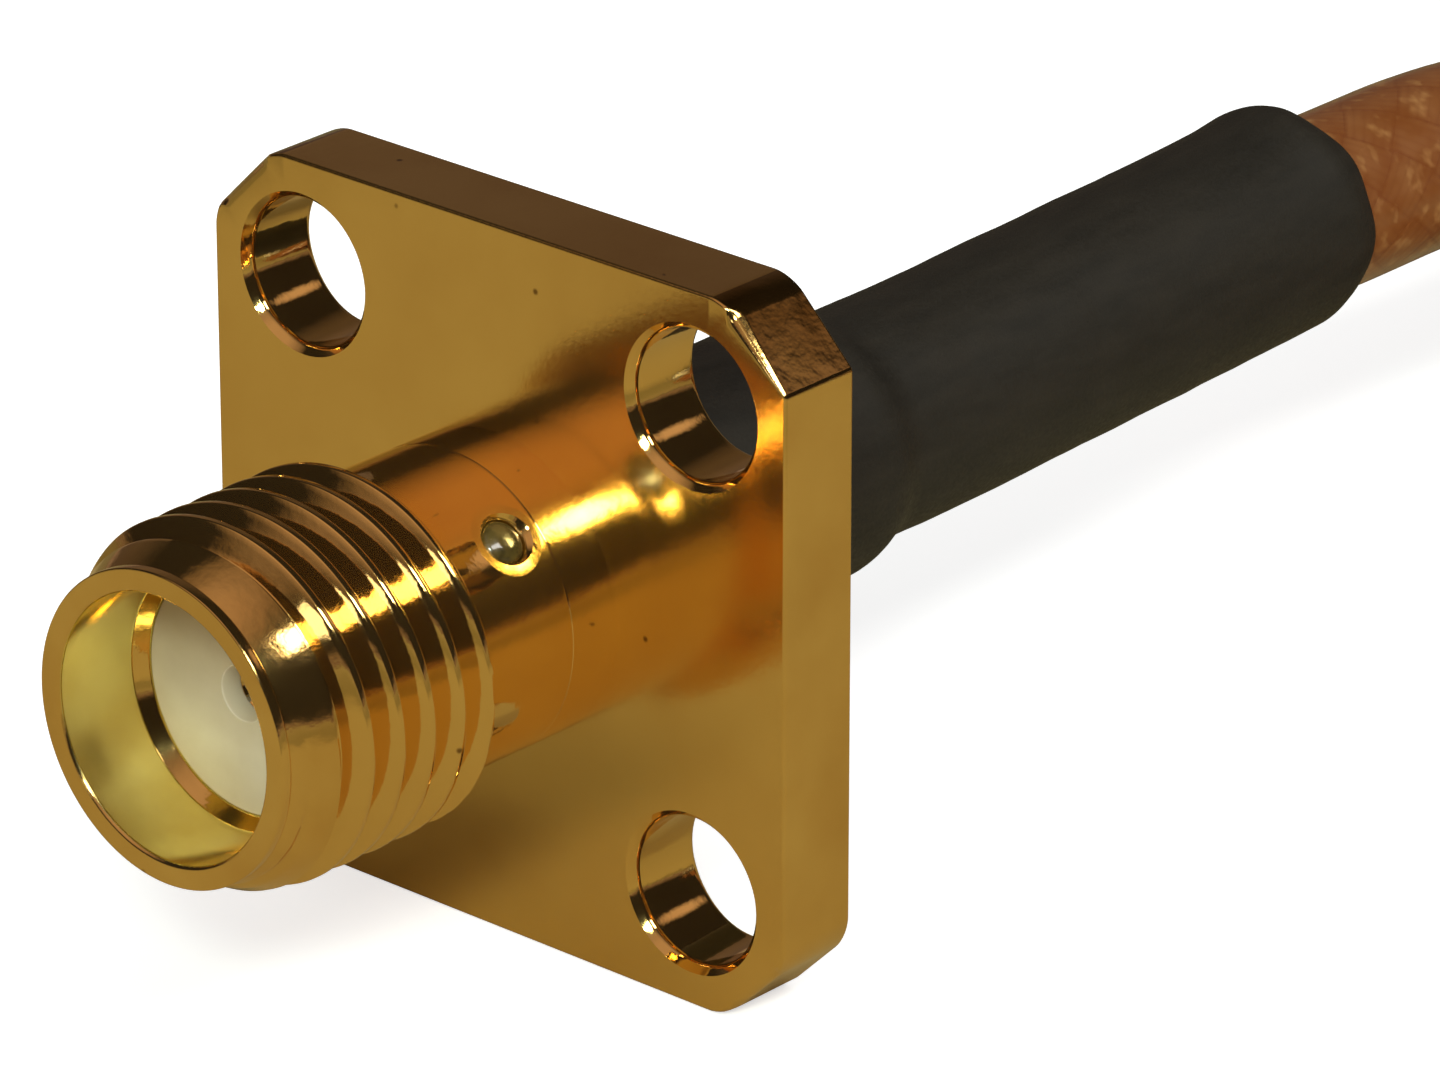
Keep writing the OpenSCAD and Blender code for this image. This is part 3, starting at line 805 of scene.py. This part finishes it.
# %% Stripped end
BRAID_LEN, CORE_LEN, STRAND_LEN = 4, 3.5, 3
STRANDS, STRAND_TWIST = 7, 70
DEG_PER_MM = 180 / (math.pi * COIL_R)
braid_end = COIL_END - BRAID_LEN * DEG_PER_MM
core_end = braid_end - CORE_LEN * DEG_PER_MM
strand_end = core_end - STRAND_LEN * DEG_PER_MM


def arc(start, end, parts, out=0.0, twist=0.0, phase=0.0):
    """Points along the coil's line, set off from its middle and twisted about it."""
    points = []
    for k in range(parts + 1):
        a = start + (end - start) * k / parts
        t = math.radians(phase + twist * k / parts)
        outward = Vector((math.cos(math.radians(a)), math.sin(math.radians(a)), 0))
        points.append(coil_point(a) + outward * (out * math.cos(t)) + Vector((0, 0, out * math.sin(t))))
    return points


def tail_piece(name, line, radius, sides, material, node):
    bm = bmesh.new()
    sweep(bm, line, radius, sides)
    return make_piece(name, bm, [material], [node])


tail = [tail_piece("tail_braid_woven", arc(COIL_END, braid_end, 12), BRAID_R, 48, braid_metal,
                   "tail_braid")]
for k in range(1, STRANDS + 1):
    line = arc(core_end, strand_end, 16, out=0 if k == 1 else 2 * WIRE_R, twist=STRAND_TWIST, phase=60 * k)
    tail.append(tail_piece(f"strand_{k}", line, WIRE_R, 16, wire_metal, f"tail_strand_{k}"))
tail.append(tail_piece("tail_core", arc(braid_end, core_end, 12), CORE_R, 48, ptfe, "tail_dielectric"))

# %% [markdown]
# Two wraps of black tape hold the coil. Each is a loop around both turns,
# pushed along the coil. Its outer layer ends in a small step, where the tape
# was cut, and its long edges are rounded a little as stretched tape is.

# %% Tape wraps
TAPE_T, TAPE_W, TAPE_ROWS, TAPE_BEVEL = 0.3, 2.0, 8, 0.07
CUT_FROM, CUT_TO, CUT_RAMP, LAYER = 2.0, 2.9, 0.04, 0.13
COIL_AXIS = Vector((COIL_R, COIL_Y, 0))
LOW_TURN = Vector((2 * COIL_R, COIL_Y, LOW_Z))

tape, tree, shader, crinkle = mottled("black_tape", 1500, 4, (0.3, 0.7), (0.014, 0.013, 0.012),
                                      (0.034, 0.031, 0.028), (0.38, 0.6), Specular_IOR_Level=0.4)
grain = calc(tree, "MULTIPLY", noise(tree, object_coordinates(tree), 8000, 2), 0.3)
bump(tree, shader, calc(tree, "ADD", crinkle["Cloud"], grain), 0.02 * MM)


def turn_about_coil(bm, verts, degrees):
    bmesh.ops.rotate(bm, verts=verts, cent=COIL_AXIS, matrix=Matrix.Rotation(math.radians(degrees), 3, "Z"))


def tape_wrap(name, node, angle):
    bm = bmesh.new()
    loop = bmesh.ops.create_circle(bm, segments=96, radius=JACKET_R + TAPE_T, matrix=Matrix.Translation(
        LOW_TURN) @ Matrix.Rotation(math.pi / 2, 4, "X"))["verts"]
    for v in loop:
        turn = math.atan2(v.co.z - LOW_Z, v.co.x - 2 * COIL_R) % math.tau
        if CUT_FROM < turn < CUT_TO:
            v.co += (LOW_TURN - v.co).normalized() * LAYER * min((turn - CUT_FROM) / CUT_RAMP, 1)
    upper = [v for v in loop if v.co.z > LOW_Z + 1e-6]
    bmesh.ops.translate(bm, verts=upper, vec=(0, 0, HIGH_Z - LOW_Z))
    half = TAPE_W / 2 * DEG_PER_MM
    rows = [-half + 2 * half * k / TAPE_ROWS for k in range(TAPE_ROWS + 1)]
    turn_about_coil(bm, loop, angle + rows[0])
    ring = bm.edges[:]
    for a, b in zip(rows, rows[1:]):
        verts, ring, _ = next_ring(bm, ring)
        turn_about_coil(bm, verts, b - a)
    bmesh.ops.recalc_face_normals(bm, faces=bm.faces)
    bmesh.ops.solidify(bm, geom=bm.faces[:], thickness=TAPE_T - 0.01)
    rims = [e for e in bm.edges if e.calc_face_angle(0) > 1.2]
    bmesh.ops.bevel(bm, geom=rims, offset=TAPE_BEVEL, segments=2, profile=0.5, affect="EDGES", material=-1)
    return make_piece(name, bm, [tape], [node], even=True)


ties = [tape_wrap("tape_wrap_1", "coil_tie_1", 0), tape_wrap("tape_wrap_2", "coil_tie_2", 120)]

# %% [markdown]

# %% [markdown]
# The gold body is one turned and milled piece. Its coupling thread is a true
# right-hand helix of 36 turns to the inch. One groove's outline is drawn
# from crest to crest, with its corners rounded as a cutting tool leaves them.

# %% One groove of the thread
PITCH, CREST_R, THREAD_DEPTH, ROOT_FLAT = 25.4 / 36, 3.175, 0.42, 0.1
CREST_ROUND = 0.035
FLANK = math.tan(math.radians(30))
ROOT_R = CREST_R - THREAD_DEPTH
CREST_HALF = (PITCH - ROOT_FLAT - 2 * THREAD_DEPTH * FLANK) / 2


def flank_points(a, b, parts=5):
    return [tuple(Vector(a).lerp(Vector(b), k / parts)) for k in range(1, parts)]


corners = [(0, CREST_R), (CREST_HALF, CREST_R), (CREST_HALF + THREAD_DEPTH * FLANK, ROOT_R),
           (PITCH - CREST_HALF - THREAD_DEPTH * FLANK, ROOT_R), (PITCH - CREST_HALF, CREST_R), (PITCH, CREST_R)]
rounded = soften(corners, CREST_ROUND, 3)
groove = (rounded[:5] + flank_points(rounded[4], rounded[5]) + rounded[5:13]
          + flank_points(rounded[12], rounded[13]) + rounded[13:])
print("points from crest to crest:", len(groove))

# %% [markdown]
# Spinning the groove once round, while it climbs by one pitch, gives one
# turn. The turns are copied side by side and welded. Then the cone at the
# mouth and the chamfer at the neck cut into them, as the lathe tool did.

# %% Thread
MOUTH_Y, LIP_R, CONE_Y, CONE_R, CONE_LEN = -7.83, 2.71, -7.54, 2.60, 0.99
CHAMFER_Y, NECK_Y, NECK_R = -3.4212, -3.147, 2.7
HELIX_START, TURNS, RUN_IN, CONE_BOW = -3.44, 8, 0.15, 0.2


def cone_r(y):
    along = max(y - CONE_Y, 0) / CONE_LEN
    return CONE_R + (CREST_R - CONE_R) * ((1 + CONE_BOW) * along - CONE_BOW * along * along)


def chamfer_r(y):
    return CREST_R - (y - CHAMFER_Y) / FLANK


def trim_thread(v):
    """Moves a point of the thread onto the cone, the chamfer or the end it would stick out of."""
    y, r = v.co.y, math.hypot(v.co.x, v.co.z)
    if y <= CONE_Y:
        y, new_r = CONE_Y, CONE_R
    elif y >= NECK_Y:
        y, new_r = NECK_Y, NECK_R
    else:
        fade = min((y - CONE_Y) / RUN_IN, 1)
        new_r = min(r, cone_r(y), chamfer_r(y))
        new_r = cone_r(y) - (cone_r(y) - new_r) * fade * fade * (3 - 2 * fade)
    v.co = (v.co.x * new_r / r, y, v.co.z * new_r / r)


def cut_thread():
    bm = bmesh.new()
    chain = draw_chain(bm, [(r, y + HELIX_START, 0) for y, r in groove])
    bmesh.ops.spin(bm, geom=chain, cent=(0, 0, 0), axis=(0, 1, 0), dvec=(0, PITCH / STEPS, 0),
                   angle=math.tau, steps=STEPS, use_merge=False, use_duplicate=False)
    one_turn = bm.verts[:] + bm.edges[:] + bm.faces[:]
    for k in range(1 - TURNS, 1):
        copy = bmesh.ops.duplicate(bm, geom=one_turn)["geom"]
        bmesh.ops.translate(bm, vec=(0, k * PITCH, 0), verts=of_kind(copy, bmesh.types.BMVert))
    bmesh.ops.delete(bm, geom=of_kind(one_turn, bmesh.types.BMVert), context="VERTS")
    weld(bm)
    for v in bm.verts:
        trim_thread(v)
    weld(bm)
    print("thread:", TURNS, "turns,", len(bm.faces), "faces")
    return mesh_of("thread", bm)


thread = cut_thread()

# %% [markdown]
# The rest of the turned outline runs from the neck's end to the flange, with
# the fine line scribed around the neck, and from the cone over the lip into
# the mating bore. Every ring has the same number of columns as the thread,
# so the parts weld into one skin.

# %% Neck, lip and bore
LINE_Y, LINE_HALF, LINE_DEPTH, LINE_MARGIN, NECK_RINGS = -1.05, 0.018, 0.012, 0.1, 20
BORE_R, PLANE_Y, HOLE_R, FLANGE_T = 2.3, -5.95, 2.1, 1.65
NOTCH, BORE_BEVEL, SHOULDER_LEN = 0.09, 0.05, 0.25


def turn_neck(bm):
    plain = LINE_Y - LINE_MARGIN
    rings = [(NECK_Y + (plain - NECK_Y) * k / NECK_RINGS, NECK_R) for k in range(NECK_RINGS)]
    lathe(bm, rings + soften([
        (plain, NECK_R), (LINE_Y - LINE_HALF, NECK_R), (LINE_Y, NECK_R - LINE_DEPTH),
        (LINE_Y + LINE_HALF, NECK_R), (0, NECK_R)], 0.02, 3))


def turn_mouth(bm):
    lathe(bm, soften([
        (CONE_Y, CONE_R), (CONE_Y - NOTCH, LIP_R), (MOUTH_Y, LIP_R), (MOUTH_Y, BORE_R + BORE_BEVEL),
        (MOUTH_Y + BORE_BEVEL, BORE_R), (PLANE_Y - SHOULDER_LEN, BORE_R), (PLANE_Y, HOLE_R),
        (FLANGE_T, HOLE_R)], 0.035, 4))


print("outline from", MOUTH_Y, "to", FLANGE_T, "mm")

# %% [markdown]
# The flange starts as a block with its four corners cut. The ends of each
# cut are rounded, but one outer edge of the upper right corner stayed crisp.
# A narrow bevel on every rim gives the bright lines that milled and plated
# edges show, and tumbling wore the front rims of the corners much wider.

# %% Flange
FLANGE_W, CORNER, EDGE, BAND, FLAT = 12.7, 1.3, 0.06, 0.1, 0.999
CRISP, ROUNDED = 0.06, 0.36
WEAR, WEAR_HALF, WEAR_FADE = 3.0, 1.2, 0.3
SCREW_R, SCREW_RIM, SCREW_AT, SCREW_STEPS = 1.3, 0.14, 4.32, 72


def widen_corner_rim(v):
    """Wears the front rims of the cut corners: they are four times as wide in the middle."""
    x, y, z = v.co
    if y > EDGE * 1.01 or abs(x) + abs(z) < FLANGE_W - CORNER - 2 * EDGE:
        return
    worn = WEAR * min(max((WEAR_HALF - abs(abs(x) - abs(z))) / WEAR_FADE, 0), 1)
    inset = EDGE * (1 - math.sqrt(max(1 - (1 - y / EDGE) ** 2, 0)))
    slide = worn * inset / math.sqrt(2)
    v.co = (x - math.copysign(slide, x), y + worn * y, z - math.copysign(slide, z))


def is_upright(edge):
    return abs(edge.verts[0].co.y - edge.verts[1].co.y) > FLANGE_T / 2


def stays_crisp(edge):
    return edge.verts[0].co.x > FLANGE_W / 2 - BAND and edge.verts[0].co.z > 0


def mill_flange(bm):
    bmesh.ops.create_cube(bm, size=1, matrix=Matrix.Translation((0, FLANGE_T / 2, 0)) @ Matrix.Diagonal(
        (FLANGE_W, FLANGE_T, FLANGE_W, 1)))
    for reach, parts, crisp in ((CORNER, 1, (True, False)), (CRISP, 4, (True,)), (ROUNDED, 8, (False,))):
        upright = [e for e in bm.edges if is_upright(e) and stays_crisp(e) in crisp]
        bmesh.ops.bevel(bm, geom=upright, offset=reach, segments=parts, profile=0.5, affect="EDGES",
                        material=-1)
    rims = [e for e in bm.edges if not is_upright(e)]
    bmesh.ops.bevel(bm, geom=rims, offset=EDGE, segments=6, profile=0.5, affect="EDGES", material=-1)
    for v in bm.verts:
        widen_corner_rim(v)
    bmesh.ops.delete(bm, geom=[f for f in bm.faces if abs(f.normal.y) > FLAT], context="FACES_ONLY")


def drill_screw_holes(bm):
    rim = soften([(0, SCREW_R + SCREW_RIM), (SCREW_RIM, SCREW_R), (FLANGE_T - SCREW_RIM, SCREW_R),
                  (FLANGE_T, SCREW_R + SCREW_RIM)], 0.08, 4)
    for x in (-SCREW_AT, SCREW_AT):
        for z in (-SCREW_AT, SCREW_AT):
            spin_round(bm, draw_chain(bm, [(x + r, y, z) for y, r in rim]), SCREW_STEPS, cent=(x, 0, z))


print("flange", FLANGE_W, "x", FLANGE_T, "mm, holes", 2 * SCREW_AT, "mm apart")

# %% [markdown]
# Now all parts of the body come together in one mesh. Welding joins the
# rings, and the front and back faces are filled around the neck and the
# screw holes. No edge may stay open, because the plating is one skin.

# %% The body in one skin
def fill_faces(bm):
    for y, way in ((0, -1), (FLANGE_T, 1)):
        loops = [e for e in bm.edges if e.is_boundary and all(abs(v.co.y - y) < 1e-4 for v in e.verts)]
        bmesh.ops.triangle_fill(bm, use_beauty=True, use_dissolve=False, edges=loops, normal=(0, way, 0))


bm = bmesh.new()
mill_flange(bm)
drill_screw_holes(bm)
bm.from_mesh(thread)
turn_neck(bm)
turn_mouth(bm)
weld(bm)
fill_faces(bm)
open_edges = [e for e in bm.edges if not e.is_manifold]
print("body:", len(bm.faces), "faces,", len(open_edges), "open edges")
bmesh.ops.recalc_face_normals(bm, faces=bm.faces)

# %% [markdown]
# Each face gets the finish that its place had in the workshop: satin on the
# flange's flats, milled on its sides, worn on the lip and the front rims of
# the corners, tumbled on the upper corners, dull in the bore. The rest was
# polished. The slot numbers follow the order of the list of gold finishes.

# %% Finishes by face
POLISHED, SATIN, MILLED, BORED, WORN, TUMBLED = range(6)
FLAT_FROM, TILTED, LIP_FROM = 2.2, 0.15, -6.6


def gold_of(face):
    centre, normal = face.calc_center_median(), face.normal
    out = max(abs(centre.x), abs(centre.z))
    if abs(normal.y) > FLAT and centre.y > -0.01 and out > FLAT_FROM:
        return SATIN
    on_cut = abs(centre.x) + abs(centre.z) > FLANGE_W - CORNER - BAND
    if centre.y > 0.001 and (out > FLANGE_W / 2 - BAND or on_cut):
        corner = abs(normal.x) > TILTED and abs(normal.z) > TILTED
        if corner and normal.y < -TILTED:
            return WORN
        return TUMBLED if corner and centre.z > 0 else MILLED
    if centre.y < 0 and math.hypot(centre.x, centre.z) < BORE_R + 0.01 and abs(normal.y) < 0.5:
        return BORED
    return WORN if centre.y < LIP_FROM else POLISHED


for face in bm.faces:
    face.material_index = gold_of(face)
body = make_piece("gold_body", bm, gold_finishes, ["flange_body"])

# %% [markdown]
# A small hole through the neck was filled with epoxy to hold the insulator.
# It is drilled with a cutter that has the hole's bevelled rim, by a Boolean
# modifier, which has to come before the one that evens the normals. This
# cut stops 0.1 mm short of the bore, and the bead hides where it stops.

# %% Epoxy hole
EPOXY_R, RIM, CUT_FLOOR = 0.4, 0.14, 2.2
out_of_hole = Matrix.Translation((0, EPOXY_Y, 0)) @ Matrix.Rotation(
    math.radians(90 - EPOXY_ANGLE), 4, "Y")


def turned_up(points, steps):
    """Spins (height, radius) points about the epoxy hole's own line."""
    bm = bmesh.new()
    spin_round(bm, draw_chain(bm, [(r, 0, z) for z, r in points]), steps, axis=(0, 0, 1))
    weld(bm, 0.0001)
    bmesh.ops.transform(bm, matrix=out_of_hole, verts=bm.verts)
    bmesh.ops.recalc_face_normals(bm, faces=bm.faces)
    return bm


def drill(piece, bm, material):
    bmesh.ops.scale(bm, vec=(MM, MM, MM), verts=bm.verts)
    tool = add_object("drill", mesh_of("drill", bm))
    tool.data.materials.append(material)
    cut = piece.modifiers.new("hole", "BOOLEAN")
    cut.object, cut.operation, cut.solver = tool, "DIFFERENCE", "EXACT"
    drilled = bpy.data.meshes.new_from_object(piece.evaluated_get(bpy.context.evaluated_depsgraph_get()))
    piece.modifiers.remove(cut)
    piece.data = drilled
    bpy.data.objects.remove(tool)
    print(piece.name, "after the hole:", len(drilled.polygons), "faces")


cutter = [(CUT_FLOOR, 0)] + soften([
    (CUT_FLOOR, EPOXY_R), (NECK_R - RIM * 0.8, EPOXY_R), (NECK_R + 0.02, EPOXY_R + RIM),
    (NECK_R + RIM, EPOXY_R + RIM * 3.4)], 0.06, 5) + [(NECK_R + RIM, 0)]
drill(body, turned_up(cutter, 64), polished_gold)
even_normals(body)

# %% [markdown]
# The epoxy itself set as a dark amber bead, a little proud in its middle and
# very glossy. A softened outline makes its dome, and a full clear coat over
# a clouded brown makes the small sharp highlight that wet-looking resin has.

# %% Epoxy bead
BEAD_FLOOR, DOME_H, SHOULDER = 1.0, 0.10, NECK_R - 0.13
amber = mottled("amber_epoxy", 2600, 3, (0.35, 0.65), (0.03, 0.022, 0.006), (0.13, 0.09, 0.02),
                (0.12, 0.3), Coat_Weight=1.0, Coat_Roughness=0.04, Specular_IOR_Level=0.5)[0]
bm = turned_up(soften([
    (BEAD_FLOOR, 0), (BEAD_FLOOR, EPOXY_R), (SHOULDER, EPOXY_R), (SHOULDER + DOME_H, EPOXY_R * 0.55),
    (SHOULDER + DOME_H * 1.1, 0)], 0.2, 5), 48)
make_piece("epoxy_bead", bm, [amber], ["epoxy_plug"], even=True)

# %% [markdown]
# The black sleeve is heat-shrink tubing: matt, faintly drawn along its
# length, with a fine grit. It was slid over the crimp and heated, so it
# follows what is under it: wide over the crimp, a soft step, then snug on
# the cable. It leans with the cable past the crimp.

# %% Sleeve outline
LEAN, LEAN_Y, LEAN_BLEND = 1.8, 10.8, 0.8
SLEEVE_START, STEP_Y, SLEEVE_END = FLANGE_T, 7.7, 21.4
THICK_R, THIN_R, FERRULE_R, FERRULE_END = 2.35, 2.05, 2.0, 7.5
STEP_LEN, END_LEN, TIP_LEN, TIP_IN = 0.7, 0.7, 0.2, 0.15
SNUG_R, SKIN_STEP, SLEEVE_STEPS = JACKET_R - 0.01, 0.22, 120

rubber, tree, shader, drawn = mottled(
    "heat_shrink", 2600, 3, (0.3, 0.7), (0.018, 0.015, 0.010), (0.025, 0.020, 0.013), (0.5, 0.68),
    stretch=(1, 0.25, 1), Specular_IOR_Level=0.35)
grit = noise(tree, object_coordinates(tree), 14000, 2)
plug(tree, shader.inputs["Roughness"], between(tree, grit, 0.3, 0.7, 0.5, 0.68))
bump(tree, shader, calc(tree, "ADD", calc(tree, "MULTIPLY", drawn["Cloud"], 0.6),
                        calc(tree, "MULTIPLY", grit, 0.4)), 0.006 * MM)


def fine_steps(points, step):
    out = []
    for a, b in zip(points, points[1:]):
        parts = max(1, round((Vector(b) - Vector(a)).length / step))
        out += [tuple(Vector(a).lerp(Vector(b), k / parts)) for k in range(parts)]
    return out + [points[-1]]


outer = soften([
    (SLEEVE_START, FERRULE_R), (SLEEVE_START, THICK_R), (STEP_Y, THICK_R), (STEP_Y + STEP_LEN, THIN_R),
    (SLEEVE_END - END_LEN, THIN_R), (SLEEVE_END - TIP_LEN, THIN_R - TIP_IN), (SLEEVE_END, JACKET_R + 0.06),
    (SLEEVE_END, SNUG_R)], 0.3, 5)
inner = [(SLEEVE_END, SNUG_R), (FERRULE_END, SNUG_R), (FERRULE_END, FERRULE_R), (SLEEVE_START, FERRULE_R)]
bm = bmesh.new()
lathe(bm, fine_steps(outer, SKIN_STEP), SLEEVE_STEPS)
lathe(bm, inner, SLEEVE_STEPS)
weld(bm)
print("sleeve outline:", len(outer) + len(inner), "points")

# %% [markdown]
# Shrinking leaves the sleeve slightly uneven, scissors left its end a little
# wavy, and near the end it swells on top. Smooth noise and sines move the
# outer skin by a tenth of a millimetre or so, and it stops looking machined.

# %% Shrunk by hand
LUMPS = ((0.018, 0.7), (0.008, 2.1))
SWELL, SWELL_Y, SWELL_LEN = 0.15, 20.8, 0.8
WAVES, WAVY_LEN = ((0.07, 3, 0.6), (0.05, 7, 2.0)), 1.5


def lean_over(co):
    """Turns a point of the straight sleeve up by the cable's lean, smoothly around the bend."""
    t = min(max((co.y - LEAN_Y) / LEAN_BLEND / 2 + 0.5, 0), 1)
    turn = Matrix.Rotation(math.radians(LEAN * t), 3, "X")
    pivot = Vector((0, LEAN_Y, 0))
    return turn @ (co - pivot) + pivot


def shrink_unevenly(v):
    y, r = v.co.y, math.hypot(v.co.x, v.co.z)
    if r <= JACKET_R + 0.02 or y <= SLEEVE_START + 0.05:
        return
    around = math.atan2(v.co.z, v.co.x)
    swell = math.exp(-((y - SWELL_Y) / SWELL_LEN) ** 2) * max(math.sin(around), 0) ** 2
    uneven = sum(height * field.noise(v.co * scale) for height, scale in LUMPS) + SWELL * swell
    v.co.x *= 1 + uneven / r
    v.co.z *= 1 + uneven / r
    near_end = min(max((y - SLEEVE_END + WAVY_LEN) / WAVY_LEN, 0), 1)
    v.co.y += near_end * sum(height * math.sin(count * around + at) for height, count, at in WAVES)


for v in bm.verts:
    shrink_unevenly(v)
    v.co = lean_over(v.co)
make_piece("shrunk_sleeve", bm, [rubber], ["heat_shrink_sleeve"])

# %% [markdown]
# The front insulator shows through the mouth, so it is turned anew: its face
# lies where the photograph shows it, with a small pin hole and a counterbore
# for the contact behind. The epoxy hole is drilled on into it, because the
# epoxy keys the two together.

# %% Bored insulator
PIN_HOLE_R, CONTACT_R, CONTACT_Y, BACK_Y = 0.48, 0.635, -5.5, 0.6
KEY_DEPTH = 2.4
step_middle = (CONTACT_Y, (PIN_HOLE_R + CONTACT_R) / 2)
bm = bmesh.new()
lathe(bm, soften([
    step_middle, (CONTACT_Y, PIN_HOLE_R), (PLANE_Y, PIN_HOLE_R), (PLANE_Y, HOLE_R), (BACK_Y, HOLE_R),
    (BACK_Y, CONTACT_R), (CONTACT_Y, CONTACT_R), step_middle], 0.04, 3), 96)
weld(bm)
bored = make_piece("bored_insulator", bm, [ptfe_painted_light], ["front_insulator"])
drill(bored, turned_up([(0, 0), (0, EPOXY_R), (KEY_DEPTH, EPOXY_R), (KEY_DEPTH, 0)], 48), ptfe_painted_light)

# %% [markdown]
# The other pieces inside keep their CAD shapes, because they are plain
# turned parts that hardly show. They still get real finishes, so that the
# model looks right when it is opened up or seen through the mouth.

# %% Finishes of the inner pieces
solder_grey = mottled("solder", 3000, 4, (0.3, 0.7), (0.42, 0.43, 0.44), (0.62, 0.63, 0.64), (0.22, 0.45),
                      Metallic=1.0)[0]
INNER = {
    "cable_dielectric": (ptfe, "white_insulator"), "centre_contact": (polished_gold, "gold_plating"),
    "crimp_stem": (satin_gold, "gold_plating"), "crimp_ferrule": (satin_gold, "gold_plating"),
    "crimped_braid": (wire_metal, "silvered_copper"), "cable_conductor": (wire_metal, "silvered_copper"),
    "solder_fill": (solder_grey, "solder"), "cable_jacket": (jacket, "brown_jacket"),
}
for node, (material, slot) in INNER.items():
    piece = frame["nodes"][node]
    piece.data.materials.clear()
    piece.data.materials.append(material)
print("finished inner pieces:", len(INNER))
